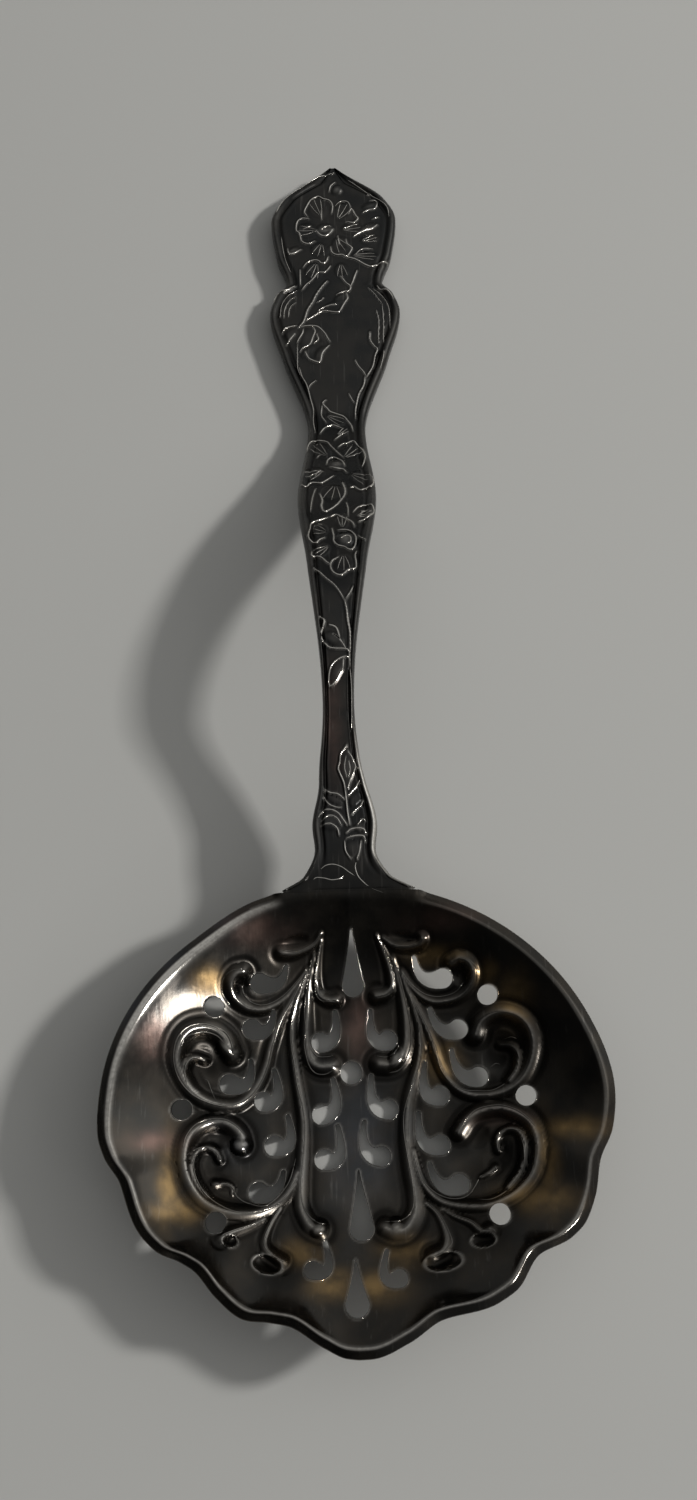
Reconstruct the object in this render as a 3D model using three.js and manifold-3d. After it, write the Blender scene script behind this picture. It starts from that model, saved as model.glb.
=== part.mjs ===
// A pierced silver spoon for sugar or bonbons: a struck handle, a raised bowl with a waved rim
// and thirty pierced openings, and the film of silver solder that joins the two at the shoulders.
// Millimetres, +Z up. The spoon lies as it does on a table: the middle of the bowl and the end of
// the handle touch z = 0. +Y points to the tip of the handle, and the origin is below its middle.

import * as THREE from 'three';
import { mergeVertices } from 'three/addons/utils/BufferGeometryUtils.js';
import Module from 'manifold-3d';

// Lengths along the spoon
const handleLength = 98.2;
const bowlLength = 47.3;
const solderThickness = 0.25;

// Bowl
const bowlHalfWidth = 27.2;
const backReach = 22.55; // widest line of the bowl to the joint
const heelOverrun = 0.45; // how far the plain oval would run on past the joint
const bowlDepth = 8.5;
const bowlWall = 1;
const dishPower = 2.4; // 2 is a round dish, more is a flatter floor with steeper sides
const footShare = 0.14; // share of the bowl that is worn flat underneath
const lipWidth = 1.1;
const lipDrop = 0.55;
const lipEdge = 0.6; // thickness of the turned-down edge
const heelRise = 0.4; // how far the sheet still climbs between the rim line and the joint
const heelAngle = THREE.MathUtils.degToRad(17.5); // half of the heel, where there is no lip
const heelBlend = THREE.MathUtils.degToRad(5);

// Handle
const endThickness = 2.3;
const endFlat = 36.2; // the upper part of the handle, to the waist, lies flat on the table
const archHeight = 15.2;
const archFromRoot = 27.5;
const climbDelay = 1.6; // above 1 the handle leaves the root slowly
const climbHurry = 0.8; // below 1 it leaves the table quickly
const shankThickness = 2.7;
const shankFromRoot = 20.15;
const rootThickness = 1.5;
const rootSetIn = 0.6; // the root is this much narrower than the bowl at the joint, each side
const borderWidth = 1.3;
const borderRise = 0.25;
const borderFade = 5;
const fieldCrown = 0.12;
const edgeDrop = 0.35;
const undersideRound = 0.5;
const solderSetIn = 0.15;

// Outline of the handle: half widths, and how far from the tip or from the root each is
const tipHalfWidth = 0.35;
const pointHalfWidth = 6.75;
const pointFromTip = 4.7;
const headHalfWidth = 8.2;
const headFromTip = 7.85;
const cheekHalfWidth = 7.5;
const cheekFromTip = 13.15;
const notchHalfWidth = 6.2;
const notchFromTip = 17.4;
const cornerHalfWidth = 7.5;
const cornerFromTip = 18.95;
const lobeHalfWidth = 8.4;
const lobeFromTip = 21.7;
const taperHalfWidth = 6.77;
const taperFromTip = 28.1;
const waistHalfWidth = 3.6;
const waistFromTip = 38.7;
const swellHalfWidth = 4.69;
const swellFromTip = 50.75;
const stemHalfWidth = 3.4;
const stemFromRoot = 36.85;
const shankHalfWidth = 1.75;
const neckHalfWidth = 2.6;
const neckFromRoot = 11.85;
const bulgeHalfWidth = 3.59;
const bulgeFromRoot = 7;
const throatHalfWidth = 3.35;
const throatFromRoot = 4.45;
const flareHalfWidth = 4.72;
const flareFromRoot = 1.5;

// The shank of this spoon lies a little to the left of its centre line.
const throatOffset = 0.26;
const throatOffsetFromRoot = 4.15;
const neckOffset = 0.25;
const neckOffsetFromRoot = 9.4;
const shankOffset = 0.61;
const shankOffsetFromRoot = 14.7;
const swellOffset = 0.31;

// The rim waves in and out at the front. Angles in degrees from the front point, and the reach
// there as a share of the plain oval. The rim was trued by hand, so its two sides differ.
const rimRight = [[0, 1], [3, 0.999], [12.3, 0.958], [22, 0.911], [36, 0.952], [40.5, 0.954],
  [50, 0.917], [58.6, 0.978], [63, 0.993], [68.6, 0.986], [76.5, 0.966], [84, 0.997],
  [94, 1.011], [110, 1.002], [150, 1.016], [165, 1.023], [180, 1]];
const rimLeft = [[0, 1], [3, 0.995], [8.4, 0.962], [18.5, 0.906], [23, 0.914], [30, 0.942],
  [38, 0.92], [46, 0.892], [50, 0.904], [56, 0.947], [62, 0.96], [73, 0.945], [80, 0.98],
  [85, 0.993], [95, 0.988], [135, 0.993], [158, 1.026], [180, 1]];

// Piercings. Places are shares of the bowl: across, of its half width, and along, of half its
// length, both from the middle of the widest line, with + towards the handle.
const petalRadius = 1.12;
const smallPetalRadius = 0.92;
const petalTailRadius = 0.3;
const eyeletRadius = 1.12;
const bossHoleRadius = 1.27;
const cutterOverrun = 1; // how far a piercing's cutter stands out above the rim and below the bowl
const petals = [
  { tail: [0.074, 0.434], bend: [0.059, 0.268], lobe: [0.141, 0.300] },
  { tail: [0.070, 0.140], bend: [0.052, -0.026], lobe: [0.137, -0.013] },
  { tail: [0.037, -0.068], bend: [0.013, -0.226], lobe: [0.102, -0.221] },
  { tail: [0.257, 0.664], bend: [0.270, 0.540], lobe: [0.370, 0.568] },
  { tail: [0.315, 0.434], bend: [0.348, 0.302], lobe: [0.426, 0.338] },
  { tail: [0.398, 0.243], bend: [0.415, 0.098], lobe: [0.500, 0.121] },
  { tail: [0.289, 0.191], bend: [0.259, 0.017], lobe: [0.344, 0.043] },
  { tail: [0.257, -0.034], bend: [0.244, -0.209], lobe: [0.339, -0.177] },
  { tail: [0.293, -0.260], bend: [0.319, -0.396], lobe: [0.406, -0.351] },
  { tail: [-0.070, 0.434], bend: [-0.052, 0.285], lobe: [-0.130, 0.298] },
  { tail: [-0.085, 0.128], bend: [-0.048, -0.030], lobe: [-0.133, -0.030] },
  { tail: [-0.070, -0.085], bend: [-0.031, -0.264], lobe: [-0.126, -0.230] },
  { tail: [-0.263, 0.638], bend: [-0.281, 0.536], lobe: [-0.370, 0.566] },
  { tail: [-0.319, 0.438], bend: [-0.333, 0.315], lobe: [-0.407, 0.362] },
  { tail: [-0.415, 0.217], bend: [-0.404, 0.077], lobe: [-0.500, 0.115] },
  { tail: [-0.322, 0.174], bend: [-0.281, 0.013], lobe: [-0.363, 0.034] },
  { tail: [-0.270, -0.034], bend: [-0.230, -0.200], lobe: [-0.324, -0.164] },
  { tail: [-0.289, -0.281], bend: [-0.304, -0.400], lobe: [-0.385, -0.366] },
];
const smallPetals = [
  { tail: [0.113, -0.626], bend: [0.070, -0.770], lobe: [0.159, -0.736] },
  { tail: [-0.126, -0.587], bend: [-0.081, -0.736], lobe: [-0.174, -0.694] },
];
const drops = [
  { point: [0.004, 0.792], lobe: [0.006, 0.552], radius: 1.25 },
  { point: [0.009, -0.285], lobe: [0.019, -0.528], radius: 1.35 },
  { point: [-0.009, -0.664], lobe: [-0.004, -0.834], radius: 1.3 },
];
const eyelets = [[0.546, 0.485], [0.681, 0.030], [0.552, -0.477],
  [-0.553, 0.460], [-0.683, 0.004], [-0.543, -0.485]];
const bossHole = [-0.010, 0.157];

// How finely the round shapes are faceted
const rimFacets = 96;
const handleFacets = 64;
const eyeletFacets = 12;
const petalSteps = 5;
const lobeSteps = 6;
const tailSteps = 2;
const dishRows = [0.25, 0.45, 0.62, 0.77, 0.89, 1];
const underRows = [0.97, 0.85, 0.7, 0.52, 0.33];

// A cubic curve through [x, y] points that never overshoots: it is level at each high and low.
function curveThrough(points) {
  const last = points.length - 1;
  const slopes = points.slice(1).map(([x, y], i) => (y - points[i][1]) / (x - points[i][0]));
  const tangents = points.map((point, i) => {
    const before = slopes[Math.max(i - 1, 0)];
    const after = slopes[Math.min(i, last - 1)];
    return before * after <= 0 ? 0 : (2 * before * after) / (before + after);
  });
  return (x) => {
    const clamped = THREE.MathUtils.clamp(x, points[0][0], points[last][0]);
    const i = Math.max(0, Math.min(last - 1, points.findLastIndex((point) => point[0] <= clamped)));
    const [x0, y0] = points[i];
    const [x1, y1] = points[i + 1];
    const span = x1 - x0;
    const t = (clamped - x0) / span;
    const rise = y0 * (1 + 2 * t) * (1 - t) ** 2 + y1 * t * t * (3 - 2 * t);
    return rise + span * (tangents[i] * t * (1 - t) ** 2 - tangents[i + 1] * t * t * (1 - t));
  };
}

// One closed skin over a row of rings with equally many points, closed by a fan at either end.
function skinOver(rings, startCentre, endCentre) {
  const count = rings[0].length;
  const vertices = [...rings.flat(), startCentre, endCentre];
  const start = vertices.length - 2;
  const end = vertices.length - 1;
  const faces = [];
  for (let j = 0; j < count; j++) {
    const next = (j + 1) % count;
    for (let i = 0; i < rings.length - 1; i++) {
      const here = i * count;
      const there = here + count;
      faces.push(here + j, here + next, there + next, here + j, there + next, there + j);
    }
    const lastRing = (rings.length - 1) * count;
    faces.push(start, next, j, end, lastRing + j, lastRing + next);
  }
  const geometry = new THREE.BufferGeometry();
  geometry.setAttribute('position', new THREE.Float32BufferAttribute(vertices.flat(), 3));
  geometry.setIndex(faces);
  return geometry;
}

// Bowl, in its own frame: the joint is the plane y = 0, and the bowl runs towards -y.

const widestY = -backReach;
const frontReach = bowlLength - backReach;
const heelReach = backReach + heelOverrun;
const rimHeight = bowlWall + bowlDepth;
const rightShare = curveThrough(rimRight);
const leftShare = curveThrough(rimLeft);

// Angles run from the front point, + to the right and - to the left, up to half a turn.
function plainReach(angle) {
  const along = Math.cos(angle) > 0 ? frontReach : heelReach;
  return 1 / Math.hypot(Math.sin(angle) / bowlHalfWidth, Math.cos(angle) / along);
}

function rimReach(angle) {
  const degrees = THREE.MathUtils.radToDeg(Math.abs(angle));
  return plainReach(angle) * (angle < 0 ? leftShare(degrees) : rightShare(degrees));
}

// The waves are strongest at the rim and die out towards the middle.
function dishPoint(angle, share, z) {
  const wave = share ** 3;
  const plain = plainReach(angle) - lipWidth;
  const waved = rimReach(angle) - lipWidth;
  const reach = share * THREE.MathUtils.lerp(plain, waved, wave);
  return [reach * Math.sin(angle), widestY - reach * Math.cos(angle), z];
}

function rimPoint(angle, setIn, z) {
  const reach = rimReach(angle) - setIn;
  return [reach * Math.sin(angle), widestY - reach * Math.cos(angle), z];
}

function dishTop(share) {
  return bowlWall + bowlDepth * share ** dishPower;
}

function dishUnder(share, angle) {
  const slope = (bowlDepth * dishPower * share ** (dishPower - 1)) / plainReach(angle);
  return Math.max(0, dishTop(share) - bowlWall * Math.hypot(1, slope));
}

// 1 where the rim has its turned-down lip, 0 over the heel.
function lipAmount(angle) {
  const fromHeel = Math.PI - Math.abs(angle);
  return THREE.MathUtils.smoothstep(fromHeel, heelAngle, heelAngle + heelBlend);
}

function bowlBlank() {
  const angles = [];
  for (let j = 0; j < rimFacets; j++) {
    angles.push(Math.PI - 2 * Math.PI * j / rimFacets);
  }
  const ring = (place) => angles.map(place);
  const lip = (angle, heel, turned) => THREE.MathUtils.lerp(heel, turned, lipAmount(angle));
  const edgeTop = (angle) => lip(angle, rimHeight + heelRise, rimHeight - lipDrop);
  const edgeUnder = (angle) => edgeTop(angle) - lip(angle, 1.3 * bowlWall, lipEdge);
  const shoulder = (angle) => lip(angle, rimHeight + 0.4 * heelRise, rimHeight - 0.2 * lipDrop);
  const rings = [
    ...dishRows.map((share) => ring((angle) => dishPoint(angle, share, dishTop(share)))),
    ring((angle) => rimPoint(angle, 0.6 * lipWidth, shoulder(angle))),
    ring((angle) => rimPoint(angle, 0, edgeTop(angle))),
    ring((angle) => rimPoint(angle, 0.1 * lipWidth, edgeUnder(angle))),
    ...underRows.map((share) => ring((angle) => dishPoint(angle, share, dishUnder(share, angle)))),
    ring((angle) => dishPoint(angle, footShare, 0)),
  ];
  return skinOver(rings, [0, widestY, bowlWall], [0, widestY, 0]);
}

function bowlPlace([across, along]) {
  return new THREE.Vector2(across * bowlHalfWidth, widestY + along * bowlLength / 2);
}

// A piercing is the path of a round file that grows along a bent stroke.
function strokeHole(tail, bend, lobe, tailRadius, lobeRadius) {
  const path = new THREE.QuadraticBezierCurve(bowlPlace(tail), bowlPlace(bend), bowlPlace(lobe));
  const left = [];
  const right = [];
  for (let i = 0; i <= petalSteps; i++) {
    const t = i / petalSteps;
    const radius = THREE.MathUtils.lerp(tailRadius, lobeRadius, t ** 1.2);
    const middle = path.getPoint(t);
    const along = path.getTangent(t);
    left.push(new THREE.Vector2(middle.x - along.y * radius, middle.y + along.x * radius));
    right.unshift(new THREE.Vector2(middle.x + along.y * radius, middle.y - along.x * radius));
  }
  const round = (centre, from, steps) => {
    const turned = [];
    for (let i = 1; i < steps; i++) {
      turned.push(from.clone().rotateAround(centre, -Math.PI * i / steps));
    }
    return turned;
  };
  const end = path.getPoint(1);
  const start = path.getPoint(0);
  const outline = [
    ...left,
    ...round(end, left[petalSteps], lobeSteps),
    ...right,
    ...round(start, right[petalSteps], tailSteps),
  ];
  return holeCutter(new THREE.Shape(outline));
}

function roundHole(place, radius) {
  const centre = bowlPlace(place);
  const outline = [];
  for (let i = 0; i < eyeletFacets; i++) {
    const angle = 2 * Math.PI * i / eyeletFacets;
    outline.push(new THREE.Vector2(centre.x + radius * Math.cos(angle), centre.y + radius * Math.sin(angle)));
  }
  return holeCutter(new THREE.Shape(outline));
}

function holeCutter(shape) {
  const depth = rimHeight + 2 * cutterOverrun;
  const cutter = new THREE.ExtrudeGeometry(shape, { depth, bevelEnabled: false });
  return cutter.translate(0, 0, -cutterOverrun);
}

const wasm = await Module();
wasm.setup();

function solidOf(geometry) {
  const bare = geometry.clone();
  bare.deleteAttribute('normal');
  bare.deleteAttribute('uv');
  const merged = mergeVertices(bare);
  const mesh = new wasm.Mesh({
    numProp: 3,
    vertProperties: new Float32Array(merged.attributes.position.array),
    triVerts: new Uint32Array(merged.index.array),
  });
  return new wasm.Manifold(mesh);
}

function geometryOf(solid) {
  const { vertProperties, triVerts } = solid.getMesh();
  const geometry = new THREE.BufferGeometry();
  geometry.setAttribute('position', new THREE.BufferAttribute(vertProperties, 3));
  geometry.setIndex(new THREE.BufferAttribute(triVerts, 1));
  return geometry;
}

function bowlGeometry() {
  const cutters = [
    ...petals.map(({ tail, bend, lobe }) => strokeHole(tail, bend, lobe, petalTailRadius, petalRadius)),
    ...smallPetals.map(({ tail, bend, lobe }) => (
      strokeHole(tail, bend, lobe, petalTailRadius, smallPetalRadius))),
    ...drops.map(({ point, lobe, radius }) => {
      const middle = [(point[0] + lobe[0]) / 2, (point[1] + lobe[1]) / 2];
      return strokeHole(point, middle, lobe, petalTailRadius / 2, radius);
    }),
    ...eyelets.map((place) => roundHole(place, eyeletRadius)),
    roundHole(bossHole, bossHoleRadius),
    pastTheJoint(),
  ];
  return geometryOf(cutters.reduce((solid, cutter) => solid.subtract(solidOf(cutter)), solidOf(bowlBlank())));
}

// Everything of the bowl blank that lies past the joint plane.
function pastTheJoint() {
  const size = 2 * bowlHalfWidth;
  return new THREE.BoxGeometry(size, size, size).translate(0, size / 2, rimHeight);
}

// Half width of the bowl's rim at the joint, on the narrower side, for the root to seat on.
function bowlHalfWidthAtJoint() {
  const chord = (side) => {
    let low = Math.PI / 2;
    let high = Math.PI;
    for (let i = 0; i < 40; i++) {
      const angle = (low + high) / 2;
      const isPastJoint = -rimReach(side * angle) * Math.cos(angle) > backReach;
      low = isPastJoint ? low : angle;
      high = isPastJoint ? angle : high;
    }
    return rimReach(side * low) * Math.sin(low);
  };
  return Math.min(chord(1), chord(-1));
}

// Handle, in its own frame: the root is the plane y = 0, and the handle runs towards +y.

const rootHalfWidth = bowlHalfWidthAtJoint() - rootSetIn;
const rootTop = rimHeight + heelRise / 2;
const fromTip = (distance) => handleLength - distance;
const halfWidthAt = curveThrough([
  [0, rootHalfWidth],
  [flareFromRoot, flareHalfWidth],
  [throatFromRoot, throatHalfWidth],
  [bulgeFromRoot, bulgeHalfWidth],
  [neckFromRoot, neckHalfWidth],
  [shankFromRoot, shankHalfWidth],
  [stemFromRoot, stemHalfWidth],
  [fromTip(swellFromTip), swellHalfWidth],
  [fromTip(waistFromTip), waistHalfWidth],
  [fromTip(taperFromTip), taperHalfWidth],
  [fromTip(lobeFromTip), lobeHalfWidth],
  [fromTip(cornerFromTip), cornerHalfWidth],
  [fromTip(notchFromTip), notchHalfWidth],
  [fromTip(cheekFromTip), cheekHalfWidth],
  [fromTip(headFromTip), headHalfWidth],
  [fromTip(pointFromTip), pointHalfWidth],
  [handleLength, tipHalfWidth],
]);
const offsetAt = curveThrough([
  [0, 0],
  [throatOffsetFromRoot, -throatOffset],
  [neckOffsetFromRoot, -neckOffset],
  [shankOffsetFromRoot, -shankOffset],
  [fromTip(swellFromTip), -swellOffset],
  [handleLength, 0],
]);
const thicknessAt = curveThrough([
  [0, rootThickness],
  [shankFromRoot, shankThickness],
  [fromTip(endFlat), endThickness],
  [handleLength, endThickness],
]);

// The arch climbs from the root, levels at its top and comes down to the flat part. Each side
// is half a cosine wave, delayed or hurried a little at its start.
function climb(t, power) {
  return (1 - Math.cos(Math.PI * t ** power)) / 2;
}

function archTop(y) {
  const flatStart = fromTip(endFlat);
  if (y < archFromRoot) {
    return THREE.MathUtils.lerp(rootTop, archHeight, climb(y / archFromRoot, climbDelay));
  }
  const share = THREE.MathUtils.clamp((flatStart - y) / (flatStart - archFromRoot), 0, 1);
  return THREE.MathUtils.lerp(endThickness, archHeight, climb(share, climbHurry));
}

function handleRing(y) {
  const half = halfWidthAt(y);
  const offset = offsetAt(y);
  const top = archTop(y);
  const under = top - thicknessAt(y);
  const fade = THREE.MathUtils.smoothstep(y, 0, borderFade);
  const border = Math.min(borderWidth, half / 3);
  const round = Math.min(undersideRound, half / 3);
  const right = [
    [half - border, top],
    [half - border / 2, top + borderRise * fade],
    [half - border / 8, top - edgeDrop],
    [half, (top + under) / 2],
    [half - round, under + round / 4],
    [half - 2 * round, under],
  ];
  const left = right.map(([x, z]) => [-x, z]).reverse();
  const ring = [...left, [0, top + fieldCrown * fade], ...right];
  return ring.map(([x, z]) => [x + offset, y, z]);
}

function handleGeometry() {
  const rings = [];
  for (let i = 0; i <= handleFacets; i++) {
    rings.push(handleRing(handleLength * i / handleFacets));
  }
  const tipMiddle = [offsetAt(handleLength), handleLength, endThickness / 2];
  const rootMiddle = [0, 0, rootTop - rootThickness / 2];
  return skinOver(rings, rootMiddle, tipMiddle);
}

// Solder film between the two, in the handle's frame: it fills the joint but for a hair all round.

function solderGeometry() {
  const half = rootHalfWidth - solderSetIn - undersideRound;
  const top = rootTop - edgeDrop;
  const under = rootTop - rootThickness + solderSetIn;
  const ring = (y) => [[-half, y, under], [-half, y, top], [half, y, top], [half, y, under]];
  const middle = (y) => [0, y, (top + under) / 2];
  return skinOver([ring(-solderThickness), ring(0)], middle(-solderThickness), middle(0));
}

// Tarnished silver: near black on the handle, dark grey in the bowl, brighter where it was soldered.
const tarnishedHandle = new THREE.MeshStandardMaterial({ color: 0x4a4a4c, metalness: 1, roughness: 0.42 });
const tarnishedBowl = new THREE.MeshStandardMaterial({ color: 0x68655f, metalness: 1, roughness: 0.36 });
const silverSolder = new THREE.MeshStandardMaterial({ color: 0x9a9a98, metalness: 1, roughness: 0.45 });

function piece(name, geometry, material, y) {
  geometry.computeVertexNormals();
  const mesh = new THREE.Mesh(geometry, material);
  mesh.name = name;
  mesh.position.y = y;
  return mesh;
}

const spoon = new THREE.Group();
spoon.position.y = (bowlLength + solderThickness - handleLength) / 2;
spoon.add(
  piece('handle', handleGeometry(), tarnishedHandle, 0),
  piece('solder_seam', solderGeometry(), silverSolder, 0),
  piece('bowl', bowlGeometry(), tarnishedBowl, -solderThickness),
);

export default spoon;
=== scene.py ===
# %% [markdown]
# A pierced silver spoon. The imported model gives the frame: where each piece is and how large.
# Everything below is made around it, in metres, and nothing that the model fixes is moved.

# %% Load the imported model
import math

import bpy
import numpy as np
from mathutils import Matrix, Vector


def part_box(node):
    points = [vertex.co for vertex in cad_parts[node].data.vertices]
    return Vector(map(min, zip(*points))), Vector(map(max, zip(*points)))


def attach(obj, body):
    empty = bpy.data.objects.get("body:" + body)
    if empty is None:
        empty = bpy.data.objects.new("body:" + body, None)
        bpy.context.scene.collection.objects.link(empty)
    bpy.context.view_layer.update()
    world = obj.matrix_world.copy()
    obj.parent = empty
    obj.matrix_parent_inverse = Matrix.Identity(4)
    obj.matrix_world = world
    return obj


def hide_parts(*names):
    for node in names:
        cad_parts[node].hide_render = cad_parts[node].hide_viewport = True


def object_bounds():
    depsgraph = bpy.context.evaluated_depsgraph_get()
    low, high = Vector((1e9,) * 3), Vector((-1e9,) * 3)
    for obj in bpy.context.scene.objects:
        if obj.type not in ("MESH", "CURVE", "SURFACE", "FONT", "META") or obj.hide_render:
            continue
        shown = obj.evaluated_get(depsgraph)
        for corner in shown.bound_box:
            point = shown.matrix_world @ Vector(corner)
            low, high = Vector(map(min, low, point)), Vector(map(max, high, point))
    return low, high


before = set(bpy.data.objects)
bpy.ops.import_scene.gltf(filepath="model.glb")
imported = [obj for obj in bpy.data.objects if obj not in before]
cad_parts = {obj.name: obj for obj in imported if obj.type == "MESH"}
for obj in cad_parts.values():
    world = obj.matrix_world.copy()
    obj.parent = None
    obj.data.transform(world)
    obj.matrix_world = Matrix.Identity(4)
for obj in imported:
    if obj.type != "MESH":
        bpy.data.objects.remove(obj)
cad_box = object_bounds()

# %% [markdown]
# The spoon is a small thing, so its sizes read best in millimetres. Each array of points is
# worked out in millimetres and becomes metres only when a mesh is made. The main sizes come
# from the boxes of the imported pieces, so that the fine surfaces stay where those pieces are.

MM = 0.001


def corners_of(node):
    """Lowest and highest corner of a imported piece, in millimetres."""
    return [np.array(corner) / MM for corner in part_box(node)]


bowl_low, bowl_high = corners_of("bowl")
handle_low, handle_high = corners_of("handle")
joint_y = bowl_high[1]
root_y = handle_low[1]
handle_length = handle_high[1] - root_y
drawn_root_y = -25.5
drawn_up = root_y - drawn_root_y
# The ornament was drawn on a root at drawn_root_y, and moves by drawn_up with the real one.
print("joint at", round(joint_y, 2), "root at", round(root_y, 2), "mm")

# %% [markdown]
# The camera comes first, because everything is judged through it. Its place was worked out from
# points of the spoon that are easy to find: the tip, the waist, the corners of the rim and the
# round holes. It looks down at the table, a little from the bowl's end.

# %% Camera
camera_place = np.array([2.054, -52.95 + drawn_up, 159.984])
camera_look = np.array([-0.01078, 0.27561, -0.96121])
camera_up = np.array([0.02715, 0.961, 0.27524])


def make_camera(place, look, up, lens):
    """A camera whose axes are the cross products of where it looks and which way is up."""
    look = look / np.linalg.norm(look)
    right = np.cross(look, up)
    right /= np.linalg.norm(right)
    turned = np.eye(4)
    turned[:3, 0] = right
    turned[:3, 1] = np.cross(right, look)
    turned[:3, 2] = -look
    turned[:3, 3] = place * MM
    data = bpy.data.cameras.new("photo_camera")
    data.lens = lens
    data.sensor_width = 36
    data.clip_start = 0.005
    data.clip_end = 5
    camera = bpy.data.objects.new("photo_camera", data)
    bpy.context.scene.collection.objects.link(camera)
    camera.matrix_world = Matrix(turned.tolist())
    bpy.context.scene.camera = camera
    return camera


camera = make_camera(camera_place, camera_look, camera_up, lens=33.6)
print("camera", round(camera_place[2]), "mm above the table")

# %% [markdown]
# Outlines are given by a few points each, and a cubic curve runs through them. It is level at
# each high and low point, so it never overshoots: a waist stays the narrowest place. Two small
# helpers go with it, a soft step and a soft minimum, which rounds the crease where two
# surfaces meet.

# %% Curves and soft steps


def curve_through(points):
    """A cubic between each two points; a slope at a point is the harmonic mean of its neighbours'."""
    x, y = np.array(points, float).T
    slope = np.diff(y) / np.diff(x)
    before = np.append(slope[0], slope)
    after = np.append(slope, slope[-1])
    same_way = before * after > 0
    total = np.where(same_way, before + after, 1)
    tangent = np.where(same_way, 2 * before * after / total, 0)

    def at(value):
        """The height of the curve at each value. Past its ends it keeps the height of the end."""
        value = np.clip(value, x[0], x[-1])
        i = np.clip(np.searchsorted(x, value, side="right") - 1, 0, len(x) - 2)
        span = x[i + 1] - x[i]
        t = (value - x[i]) / span
        rise = y[i] * (1 + 2 * t) * (1 - t) ** 2 + y[i + 1] * t * t * (3 - 2 * t)
        return rise + span * (tangent[i] * t * (1 - t) ** 2 - tangent[i + 1] * t * t * (1 - t))

    return at


def soft_step(start, end, value):
    """0 before start, 1 after end, and a smooth S between them."""
    t = np.clip((value - start) / (end - start), 0, 1)
    return t * t * (3 - 2 * t)


def soft_least(a, b, reach):
    """The smaller of a and b, with the crease between them rounded over about reach."""
    least = np.minimum(a, b)
    return least - reach * np.log(np.exp((least - a) / reach) + np.exp((least - b) / reach))


def blend(a, b, share):
    """a where share is 0, b where it is 1."""
    return a + (b - a) * share


print("half way up a soft step:", soft_step(0, 1, 0.5))

# %% [markdown]
# The bowl is a shallow oval dish, drawn by a hammer or a press from sheet. Seen from above it is
# an ellipse whose edge waves in and out at the front. Its height is a power of how far out one
# is: 2 would be a round dish, and a little more gives a flatter floor and steeper sides.

# %% The dish of the bowl
bowl_half_width = 27.2
back_reach = 22.55
heel_overrun = 0.45
widest_y = joint_y - back_reach
front_reach = widest_y - bowl_low[1]
heel_reach = back_reach + heel_overrun
bowl_wall = 1.0
bowl_depth = 8.5
dish_power = 2.4
rim_height = bowl_wall + bowl_depth
lip_width = 1.1
root_top = rim_height + 0.2
crease_round = 0.5
heel_edge = math.radians(17.5)
lip_full = math.radians(22.5)
heel_faded = math.radians(30)
heel_inner = 0.5
heel_outer = 0.8
waves_power = 3
share_tries = 12

right_share = curve_through([
    (0, 1), (3, 0.999), (12.3, 0.958), (22, 0.911), (36, 0.952), (40.5, 0.954), (50, 0.917),
    (58.6, 0.978), (63, 0.993), (68.6, 0.986), (76.5, 0.966), (84, 0.997), (94, 1.011),
    (110, 1.002), (150, 1.016), (165, 1.023), (180, 1),
])
left_share = curve_through([
    (0, 1), (3, 0.995), (8.4, 0.962), (18.5, 0.906), (23, 0.914), (30, 0.942), (38, 0.92),
    (46, 0.892), (50, 0.904), (56, 0.947), (62, 0.96), (73, 0.945), (80, 0.98), (85, 0.993),
    (95, 0.988), (135, 0.993), (158, 1.026), (180, 1),
])


def plain_reach(angle):
    """From the middle to the plain oval. Angles run from the front point, + to the right."""
    along = np.where(np.cos(angle) > 0, front_reach, heel_reach)
    return 1 / np.hypot(np.sin(angle) / bowl_half_width, np.cos(angle) / along)


def rim_reach(angle):
    """From the middle to the waved rim: the plain oval times a share that differs by side."""
    degrees = np.degrees(np.abs(angle))
    return plain_reach(angle) * np.where(angle < 0, left_share(degrees), right_share(degrees))


def dish_place(angle, share):
    """x and y of a share of the way to the ridge. The waves grow with the cube of the share."""
    plain = plain_reach(angle) - lip_width
    waved = rim_reach(angle) - lip_width
    reach = share * blend(plain, waved, share**waves_power)
    return reach * np.sin(angle), widest_y - reach * np.cos(angle)


def dish_share(x, y):
    """The angle and the share of a place: dish_place turned round, by repeating its formula."""
    angle = np.arctan2(x, widest_y - y)
    radius = np.hypot(x, widest_y - y)
    plain = plain_reach(angle) - lip_width
    waved = rim_reach(angle) - lip_width
    share = radius / plain
    for _ in range(share_tries):
        share = radius / blend(plain, waved, np.minimum(share, 1.2) ** waves_power)
    return angle, share


def dish_height(angle, share):
    """A power of the share, and towards the heel a soft minimum of that and the handle's root."""
    dish = bowl_wall + bowl_depth * share**dish_power
    from_heel = math.pi - np.abs(angle)
    heel = 1 - soft_step(heel_edge, heel_faded, from_heel)
    heel *= soft_step(heel_inner, heel_outer, share)
    return blend(dish, soft_least(dish, root_top, crease_round), heel)


print("the dish is", round(float(dish_height(0.0, 1.0)), 2), "mm high at its front")

# %% [markdown]
# The handle is one struck bar. From above it has a pointed head, two lobes, a waist, a swell
# with the flowers, a thin shank and a flare at the root. From the side it arches off the
# table, and from the waist on it lies flat. Outline, lean and thickness are curves again.

# %% The bar of the handle
arch_height = 15.2
arch_from_root = 27.5
climb_delay = 1.6
climb_hurry = 0.8
end_thickness = 2.3
end_flat = 36.2
border_width = 1.3
border_crest = 0.3
moulding_fade = 5
root_meets = 3
root_release = 9
meet_inner = 3.5
meet_outer = 5.5
crown = 0.12

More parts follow.
